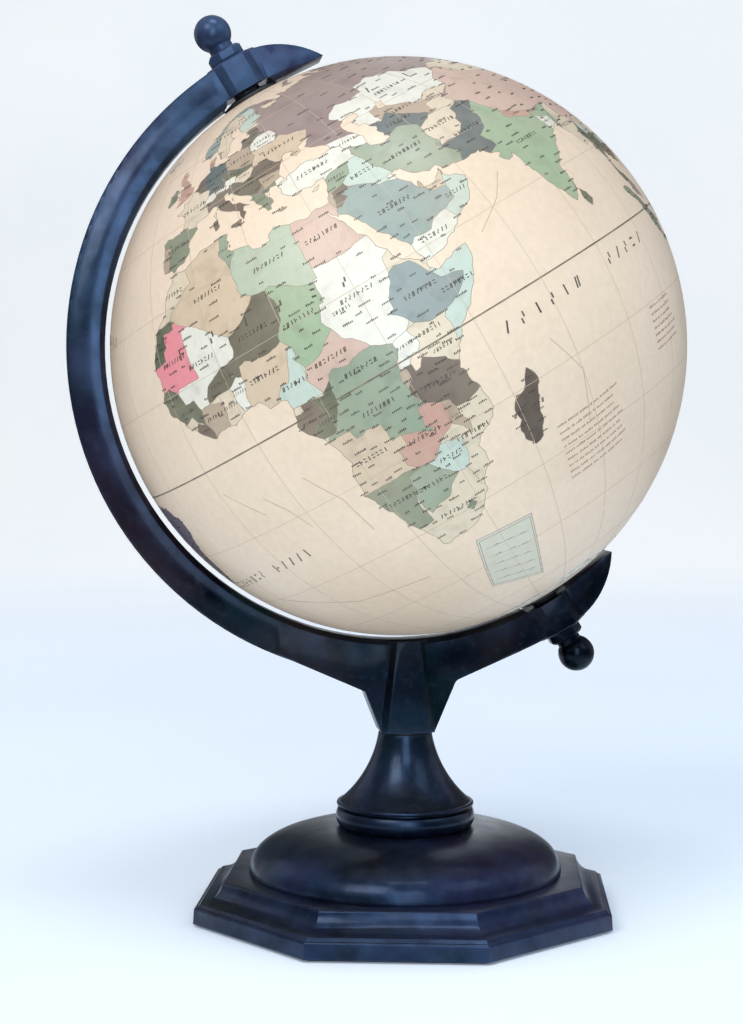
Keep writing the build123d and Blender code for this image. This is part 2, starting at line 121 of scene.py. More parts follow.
# ---- the world: each outline is "longitude,latitude ..." in degrees ---------------------
# The first word of each row is the printed tint of that land or country.
LANDS = """
sand -5.9,35.8 -2.9,35.3 -0.6,35.8 3,36.9 5.1,36.8 7.8,37 9.8,37.3 11.1,37 10.5,35.9 11.1,35.2
  10.1,34 11.1,33.2 13.2,32.9 15.3,32.3 15.8,31.2 18,30.5 20,30.9 20.1,32.1 21.7,32.9 23.1,32.4
  25,31.6 27.3,31.3 29,30.8 30,31.3 31.1,31.6 32.3,31.2 32.6,29.9 33,28.5 33.9,27.2 35,25 35.5,23.1
  36.9,22 37.2,19.6 38.6,18 39.5,15.6 41.2,14.5 43.3,12.5 43.1,11.6 44.3,10.4 47.5,11.1 51.2,11.9
  51.1,10.4 50,8 48.5,5.3 46,2.4 43.5,.6 41.8,-1.4 40.6,-2.5 39.6,-4.2 38.8,-6 39.5,-7 39.5,-9
  40.4,-10.6 40.7,-13 40.8,-15 39.9,-16.4 37,-17.9 34.9,-19.8 35.5,-22 35.5,-24 32.8,-25.8
  32.6,-28.3 31,-29.9 29,-32 27,-33.6 25.7,-34 22.5,-34.1 20,-34.8 18.4,-34.2 18.2,-32 17.2,-30.2
  16.4,-28.6 15.2,-26.7 14.5,-22.9 13,-20 11.8,-17.5 12.5,-14 13.8,-11 13.2,-9 12.3,-6.1 11.8,-4.8
  9.3,-2 8.8,-.7 9.4,.4 9.8,2 9.7,4 8.5,4.6 7,4.4 6,4.3 5,5.9 4.3,6.4 2.5,6.3 1.2,6.1 -.2,5.5 -2,4.8
  -3.1,5.1 -5,5.1 -7.5,4.4 -9.5,5.6 -11,6.8 -13.2,8.5 -13.7,9.7 -15,11 -16.7,12.4 -16.7,13.6
  -17.5,14.7 -16.5,16 -16.2,18.9 -17,21 -16,23.7 -14.5,26.2 -12.9,27.9 -11,28.8 -9.8,30 -9.6,31.5
  -8.5,33.2 -6.9,34
rust 32.3,31.2 34.2,31.3 35,32.8 35.8,34.5 36,36.5 34.5,36.6 32.8,36.1 30.6,36.8 29.6,36.2
  28.2,36.7 27.3,37.3 26.4,38.5 26.8,39.3 26.2,40 27.5,40.4 29,40.5 29,41.1 31.4,41.4 33.3,42
  35.1,42 36.5,41.2 38.5,41 41.5,41.5 41.5,42.6 39,43.9 37.5,44.7 36.8,45.4 38,46.5 39.2,47.2
  36.5,46.7 35,46.2 35.3,45 33.7,44.4 32.6,45.4 33.5,46 31.5,46.6 30.7,46.3 29.6,45 28.6,43.8
  27.7,42.6 28.2,41.6 28.6,41.1 26.7,40.4 26,40.7 24.4,40.9 23.8,40.2 22.8,40.5 22.9,39.5 24,38.3
  24,37.7 23.1,37.4 22.9,36.5 22,36.6 21.3,37.8 21.2,38.4 20.1,39.4 19.4,40.6 19.5,41.8 18.1,42.6
  16.4,43.5 14.9,45 13.8,44.9 13.7,45.7 12.4,45.3 12.5,44.2 13.6,43.6 14.3,42.4 16.2,41.8 17,41.1
  18.5,40.1 17,40.5 16.6,39.7 17.2,39 16.1,37.9 15.7,40 14.3,40.8 12.2,41.7 10.5,42.9 10.2,44
  8.8,44.4 7.4,43.7 5.2,43.3 3.1,43.1 3.2,41.9 .6,40.6 -.3,39.4 .2,38.7 -.7,37.7 -2.1,36.8 -4.4,36.7
  -5.6,36 -6.4,36.8 -8.9,37 -9.4,38.7 -8.8,40.5 -8.8,42.1 -9.2,43.1 -7.8,43.7 -4,43.4 -1.8,43.4
  -1.2,44.6 -1.2,46 -2.2,47.2 -4.6,48 -1.6,48.6 -1.8,49.7 .1,49.5 1.6,50.8 3.5,51.5 4.6,52.9
  6.9,53.5 8.6,53.9 8.2,55.5 8.2,57 10.6,57.7 10.3,56.3 9.6,55 10.9,54.3 12.5,54.4 14.2,53.9
  16.5,54.5 18.7,54.6 20,54.6 21,55.5 21,57 22,57.6 24.1,57 24.4,58.3 23.5,59.2 26,59.6 28,59.5
  30,59.9 28,60.5 25,60.2 22.9,59.9 21.5,61 21.3,62.8 25.2,65 24,65.8 22,65.6 21.5,64.5 18,62.5
  17.2,61 18.8,59.9 16.8,58.6 16.4,57 15.8,56.1 14.2,55.5 12.8,55.6 11.7,57.8 10.8,59.2 8,58.1
  5.6,58.8 5,61 6.5,62.8 9.5,63.9 12,65.8 14.5,67.9 18.5,69.8 23,70.7 26,71.1 31,70.3 33,69.4
  38,68.3 41.2,66.8 38.5,66.1 34,66.7 32.6,67 34.9,64.5 37,63.9 38,64.8 40.5,64.6 40,65.8 44.1,66.2
  43.7,68.5 46,68.2 47,67 53,68.5 58.5,68.9 60.5,69.5 65,69.2 68.5,68.3 67,71.2 70,73.2 72.8,72.5
  72,70.5 73.5,68 75,68.8 74.5,71 76,72 80.5,72 80.5,73.6 87,74.8 98,76.2 104.3,77.7 113,76
  113.5,73.8 119,73 127,73.4 130,71.2 137,71.5 140.5,72.6 150,71.5 161,69.6 170,69.8 180,68.9
  186,67.2 190,66.1 187,64.7 181,65.4 178.5,64.5 179,62.5 174,61.7 170,60 165,60 163,58 162.5,56.2
  160,53.2 156.8,51 155.8,55 157,57.8 163,61.6 160,61.8 155,59.3 149,59.5 142.5,59.2 137.5,54 141,53
  140.3,48.5 135.5,44.3 131.9,43.1 129.7,41 127.5,39.7 129.4,37 129.2,35.2 126.5,34.5 126.6,37.5
  125,38.5 125,39.5 121.5,38.8 121.2,40.8 118,39.1 119,37.3 122.5,37.2 120,35.8 119.3,34.8 121,32.8
  121.9,31 121.7,29 119.5,26 117,23.5 114,22.3 110.5,21.2 109.9,20.4 109.3,21.5 108,21.6 106,19.5
  107,17 109,15 109.3,12.5 107.2,10.4 105,8.7 104.8,10.4 103,10.8 102,12.5 100.6,13.5 100,12
  99.3,9.5 100.4,8 102.3,6.2 103.4,4 104.2,1.4 101.3,2.8 100.3,5.8 98.5,8 98.7,10.5 98.3,13.5
  97.6,16.4 95.3,15.8 94.3,17.5 93.8,19.5 92.2,21.2 91.5,22.7 89,21.8 87,21.2 86.5,20 85,19.4
  82.3,16.8 80.3,15.5 80.2,13.2 79.8,10.4 78.9,9.4 78.1,8.4 77.5,8.1 76.3,9.9 75,12.2 74,14.8
  73.2,17 72.8,19 72.7,21 72.3,21.8 71.8,21 70.5,20.8 69.1,22.2 70.3,22.9 68.3,23.6 67.3,24.8
  66.5,25.4 62.3,25.1 58.8,25.6 57.3,25.7 56.6,27.1 54.6,26.6 52.5,27.5 50.8,28.9 50.2,30 48.9,30.3
  48,29.9 48.2,28.9 48.7,28 50.1,26.6 50.2,25.6 50.8,24.8 50.8,25.6 51.3,26.1 51.6,25 51.4,24.5
  52.6,24.2 54.4,24.5 55.3,25.3 56.4,26.3 56.4,24.8 57.2,23.9 58.6,23.6 59.8,22.5 58.7,20.5
  57.8,18.9 56.4,17.9 55.2,17.5 54,17 52.2,15.6 49,14.2 45,12.8 43.5,12.7 42.7,15.5 42.5,16.9
  41.1,18.8 39.2,21.3 38,24.1 37.2,25.3 35.5,27.7 34.6,28.1 35,29.5 34.3,27.8 33.2,28.9 32.6,29.9
rose -5.6,50.1 -3.5,50.3 -1,50.7 1.3,51.2 1.7,52.7 .3,53 -.2,54.2 -1.6,55.6 -3.2,56.1 -2,57.6
  -4,57.7 -3.1,58.6 -5,58.6 -5.8,57 -5.2,55.6 -3.3,54.9 -3,53.6 -4.4,53.3 -4.2,52.5 -5.2,51.8
  -3.2,51.4
moss -6.1,52.2 -6.1,53.5 -5.6,54.6 -7.4,55.3 -8.5,54.4 -10,54.2 -9.2,53.2 -10.3,52.1 -9.5,51.5
  -8,51.8
cream -22.7,63.9 -18.8,63.4 -14.6,64.4 -13.7,65.5 -15.5,66.3 -18.5,66.1 -21.5,66.4 -24,65.6
  -22,64.7
umber 12.5,38 15.6,38.2 15.1,36.7 12.6,37.6
umber 8.2,40.9 9.5,41.2 9.7,39.5 8.4,38.9
sand 8.6,42.4 9.4,43 9.5,42.1 9.2,41.4
olive 23.6,35.5 26.3,35.2 24.7,34.9
sand 32.3,35 34.5,35.7 33.6,34.8
rust 51.5,71.5 55,73.5 60,75.8 68.5,77 65,75.8 57.5,73 57.5,70.7 53.5,71
cream 11,79 17,80 26,80 20,78 17,76.7
bark 49.3,-12 50.5,-15.5 49.5,-17.8 47.2,-24.8 45.2,-25.5 43.6,-23.5 43.4,-21.6 44.4,-19.9
  44,-17.5 45,-16 46.3,-15.7 47.8,-14.6 48.3,-13.4
olive 80,9.8 81.3,8.5 81.8,7 80.6,5.9 79.8,7
moss 95.3,5.6 97.5,5.2 100.4,2.5 103.5,-.8 106,-3 105.8,-5.8 104.5,-5.8 101.5,-3.2 98.7,1.7
moss 105.2,-6.8 106.7,-6 110.9,-6.5 114.4,-7.8 114.4,-8.7 110,-8 106.5,-7.4
moss 109,1.5 111.4,2.6 113,3.2 116.8,7 119.2,5.2 117.8,3.5 118.9,1 117.5,.5 116.3,-3 114.6,-4.1
  111.8,-3.5 110.1,-1.5
moss 119.8,.7 120.8,1.3 125.1,1.6 124.2,.4 120.6,.4 120.2,-.9 121.4,-.9 123.3,-.9 121.6,-1.9
  123,-4.1 122.3,-5.2 121.5,-4.6 120.9,-2.8 120.4,-5.6 119.4,-5.4 119,-3.2
rose 131,-.8 134.1,-.8 134.9,-3.3 137.8,-1.5 141,-2.6 144.5,-3.8 147.8,-6.1 150.8,-10.3
  147.9,-10.1 146,-8.6 143,-9.2 141,-9.1 138,-8.4 138.8,-6.9 135.5,-4.5 132.8,-4
moss 119,-8.5 122.8,-8.2 124.5,-9.2 127.2,-8.5 125,-9.9 121,-10
tan 120.6,18.5 122.2,18.5 121.6,16 124,12.7 120.6,13.8 119.9,16.2
tan 122,7 123.6,8.6 125.5,9.8 126.4,7.5 125.4,5.7 123.9,7.6
olive 121,25 121.9,25 120.8,21.9 120.1,23
tan 108.7,19.3 110.9,20 110,18.4
rose 129.7,33.3 131,33.9 131.9,33 131.3,31.4 130.2,31.2
rose 130.9,34.2 132.8,35.5 136,35.7 136.8,37.3 138.6,37.3 140,39.8 140.3,41.2 141.5,41.3 142,39.5
  141,38.2 140.8,35.8 139,34.7 136.9,34.4 135.8,33.5 135.1,34.5 132.5,34.2
rose 140,41.5 140.4,43.3 141.7,45.4 145.3,44.3 143.3,42 141,42.4
rust 142,46 142.2,50.5 142.7,54.3 144.7,49 143.5,46.8
blush 114.1,-21.8 117.5,-20.6 121.5,-18.5 124,-16.3 126.9,-13.8 129.5,-14.9 130.9,-12.3
  132.6,-11.3 136.8,-12.2 135.5,-14.9 139.5,-17.6 141,-16.8 141.6,-13 142.5,-10.7 143.8,-14.3
  145.4,-15 146.2,-18.8 149,-20.5 150.8,-23.4 153.1,-25.5 153.6,-28.6 151.4,-33 150,-37.4
  146.3,-39.1 143.6,-38.8 140.5,-38 138.1,-35.6 137.8,-32.8 135.6,-34.8 134.2,-32.7 131.2,-31.5
  126,-32.3 123.8,-33.9 118,-35 115.1,-34.2 115.7,-31.7 113.5,-26
olive 144.7,-40.8 148.3,-40.9 147.9,-43.2 146,-43.6
moss 172.7,-34.5 175.3,-36.5 178.4,-37.7 177,-39.5 175.2,-41.6 173.8,-39.3 174.6,-37.5
moss 172.7,-40.5 174.3,-41.8 172.8,-43.8 171,-45.8 168.9,-46.7 166.5,-46 168.5,-44 171.2,-42.3
lilac -77.3,8.7 -75.6,10.6 -74.8,11.1 -71.6,12.4 -71.4,10.9 -70,12 -68.2,10.9 -64.5,10.2
  -61.9,10.7 -60.8,9.3 -59.8,8.3 -57.2,6 -54,5.9 -51.6,4.2 -50,1.7 -50.5,0 -48.5,-.7 -44.4,-2.6
  -40,-2.9 -37.2,-4.8 -35.3,-5.3 -34.8,-7.5 -35.3,-9.5 -37.2,-11.4 -38.6,-13 -39.1,-17 -40.2,-20.5
  -41.9,-22.9 -44.8,-23.3 -48.3,-25.8 -48.7,-28.4 -50.3,-30.5 -53.4,-33.7 -54.9,-34.9 -58.3,-34
  -57.2,-36.2 -57.9,-38.2 -62,-38.9 -62.3,-40.8 -65.1,-41 -63.7,-42.5 -65.4,-44.8 -67.4,-46.2
  -65.8,-47.8 -69,-50.8 -68.4,-52.4 -65.2,-54.7 -68,-55.6 -72.5,-54 -75,-51 -75.5,-47.5 -73.5,-43.5
  -73.7,-40.5 -73.3,-37.2 -71.6,-33 -71.5,-29.5 -70.4,-23.5 -70.3,-18.4 -76.2,-13.9 -77.1,-12.1
  -79,-8.2 -81.2,-6 -81.3,-4.3 -79.9,-2.8 -80.9,-1 -79,1.8 -77.2,3.8 -77.9,7.2
sage -77.9,7.2 -79.5,8.9 -81.7,7.4 -83.7,8.5 -85.7,10 -87.6,12.9 -91.5,14 -94,16.1 -97.5,15.9
  -102,17.9 -105.5,20.3 -106.5,23.3 -109.4,26 -112.8,30 -114.8,31.7 -112.8,28 -110,24.2 -109.4,23
  -112.1,25.5 -115,28 -117.1,32.5 -120.6,34.6 -122.5,37.6 -124.3,40.4 -124.1,44 -124.6,48.3
  -122.8,49.1 -127.5,51.5 -130.3,54.7 -134,58 -139.5,59.9 -144,60 -148.5,60.2 -152,59.3 -154,58
  -158.5,56 -163.5,54.8 -160,56.5 -157.3,58.7 -162,58.8 -165,60.7 -164.5,63 -161,64.5 -166,64.6
  -168,65.6 -163,66.5 -166.2,68.8 -156.6,71.3 -149,70.5 -141,69.6 -135.5,69.2 -128,70.3 -120,69.5
  -115,68.8 -108.5,68 -101,67.8 -95.5,68.5 -94.3,71.8 -90.5,69 -87,68 -85.5,69.5 -81.5,68.5 -82,66.5
  -86.5,65.5 -93,62 -94.5,58.8 -92.5,57 -88,56.5 -82.3,55.1 -82.2,52.9 -79.5,51.5 -78.8,54.5
  -76.6,57.2 -78.5,58.9 -77.5,62.3 -73,62.1 -69.5,60.9 -69,59 -65,60 -61.5,56.5 -56,53.3 -56,51.7
  -60,50.2 -66.5,50.2 -69.5,48 -65,48.9 -65,47 -61,45.3 -64.5,43.6 -67,44.8 -70,43.7 -70.7,42
  -70,41.7 -74,40.6 -75.3,38 -75.8,35.3 -79,33.3 -81.3,31.4 -80.3,27.3 -80.4,25.2 -81.8,26.1
  -82.8,28 -84.1,30 -89,30.3 -89.3,29.1 -91.5,29.5 -94.7,29.4 -97.3,27.4 -97.8,22.5 -96,19 -92,18.6
  -90.5,20.8 -87,21.5 -87.7,18.3 -88.7,15.9 -86,15.9 -83.3,15 -83.8,11.2 -82,9 -79.7,9.5 -77.3,8.7
cream -44,59.9 -51.5,64 -53.5,67.5 -51,69.8 -55,71.5 -60,76 -70,76.5 -73,78.3 -66,80.5 -50,82.3
  -32,83.5 -20,82 -19,79.5 -20.5,76 -22.5,72.5 -26,69 -37,65.8 -42,62
sage -61.5,66.5 -64.5,63.2 -72,64.5 -78,64.8 -72.5,67.5 -78,70 -89,70.5 -89.5,73.3 -81,73.7
  -72,71.3 -67.5,69.5
sage -117,69.8 -105,69 -101.5,69.8 -105,72.8 -114,73.2 -118,71.5
sage -90,76.5 -79,76.3 -76,78.8 -65,82.5 -75,83 -92,81.5 -87,79
olive -84.9,21.9 -82.5,23.1 -80,23 -77,21.5 -74.2,20.2 -77.6,19.9 -78.2,20.8 -82,22.4
tan -74.4,18.4 -73.2,19.9 -70,19.7 -68.4,18.6 -71.4,17.7
sage -59.3,47.7 -57,51.2 -55.6,51.5 -53,47 -55.8,46.9
cream -57,-63.3 -61,-65 -66,-67.5 -68,-70 -75,-73 -100,-73 -110,-74.5 -125,-73.8 -140,-75 -150,-77
  -158,-78 -180,-78.3 -192,-77.5 -195,-74 -190,-71.5 -200,-69.5 -210,-68.5 -220,-66.8 -235,-66.5
  -250,-66 -265,-66.5 -275,-66.5 -285,-69.5 -290,-68.5 -300,-67 -310,-66.5 -320,-69 -330,-69.5
  -345,-70 -360,-70.5 -370,-71 -380,-73.5 -388,-76.5 -395,-78 -410,-78.3 -422,-76 -421,-72 -420,-68
  -417,-65
"""

LAKES = """
sea 47.5,45.6 49,46.5 51.5,46.9 53.1,46.4 53,45.3 51.2,45 50.3,44.5 50.9,43 52.5,42.8 52.7,41.5
  53.8,40.8 53,39.8 53.9,37.5 53.9,36.9 51,36.7 49,37.5 48.9,38.5 49.5,40.3 48.5,41.9 47.6,43
  47.2,44.5
sea 31.8,-.9 33,.3 34,.1 33.9,-1.2 33,-2.4 31.9,-2.6
sea 58.3,44.5 59.5,46.4 61.5,46.2 60.5,44
sea 104.5,51.5 109,53.5 109.8,55.5 108,53.2
sea -92,46.7 -88,48.6 -84.5,46.6
sea -87.5,42 -86.5,45.8 -84.5,45.7 -86,42
sea -83.5,45.8 -81,45.5 -82,43.2
"""

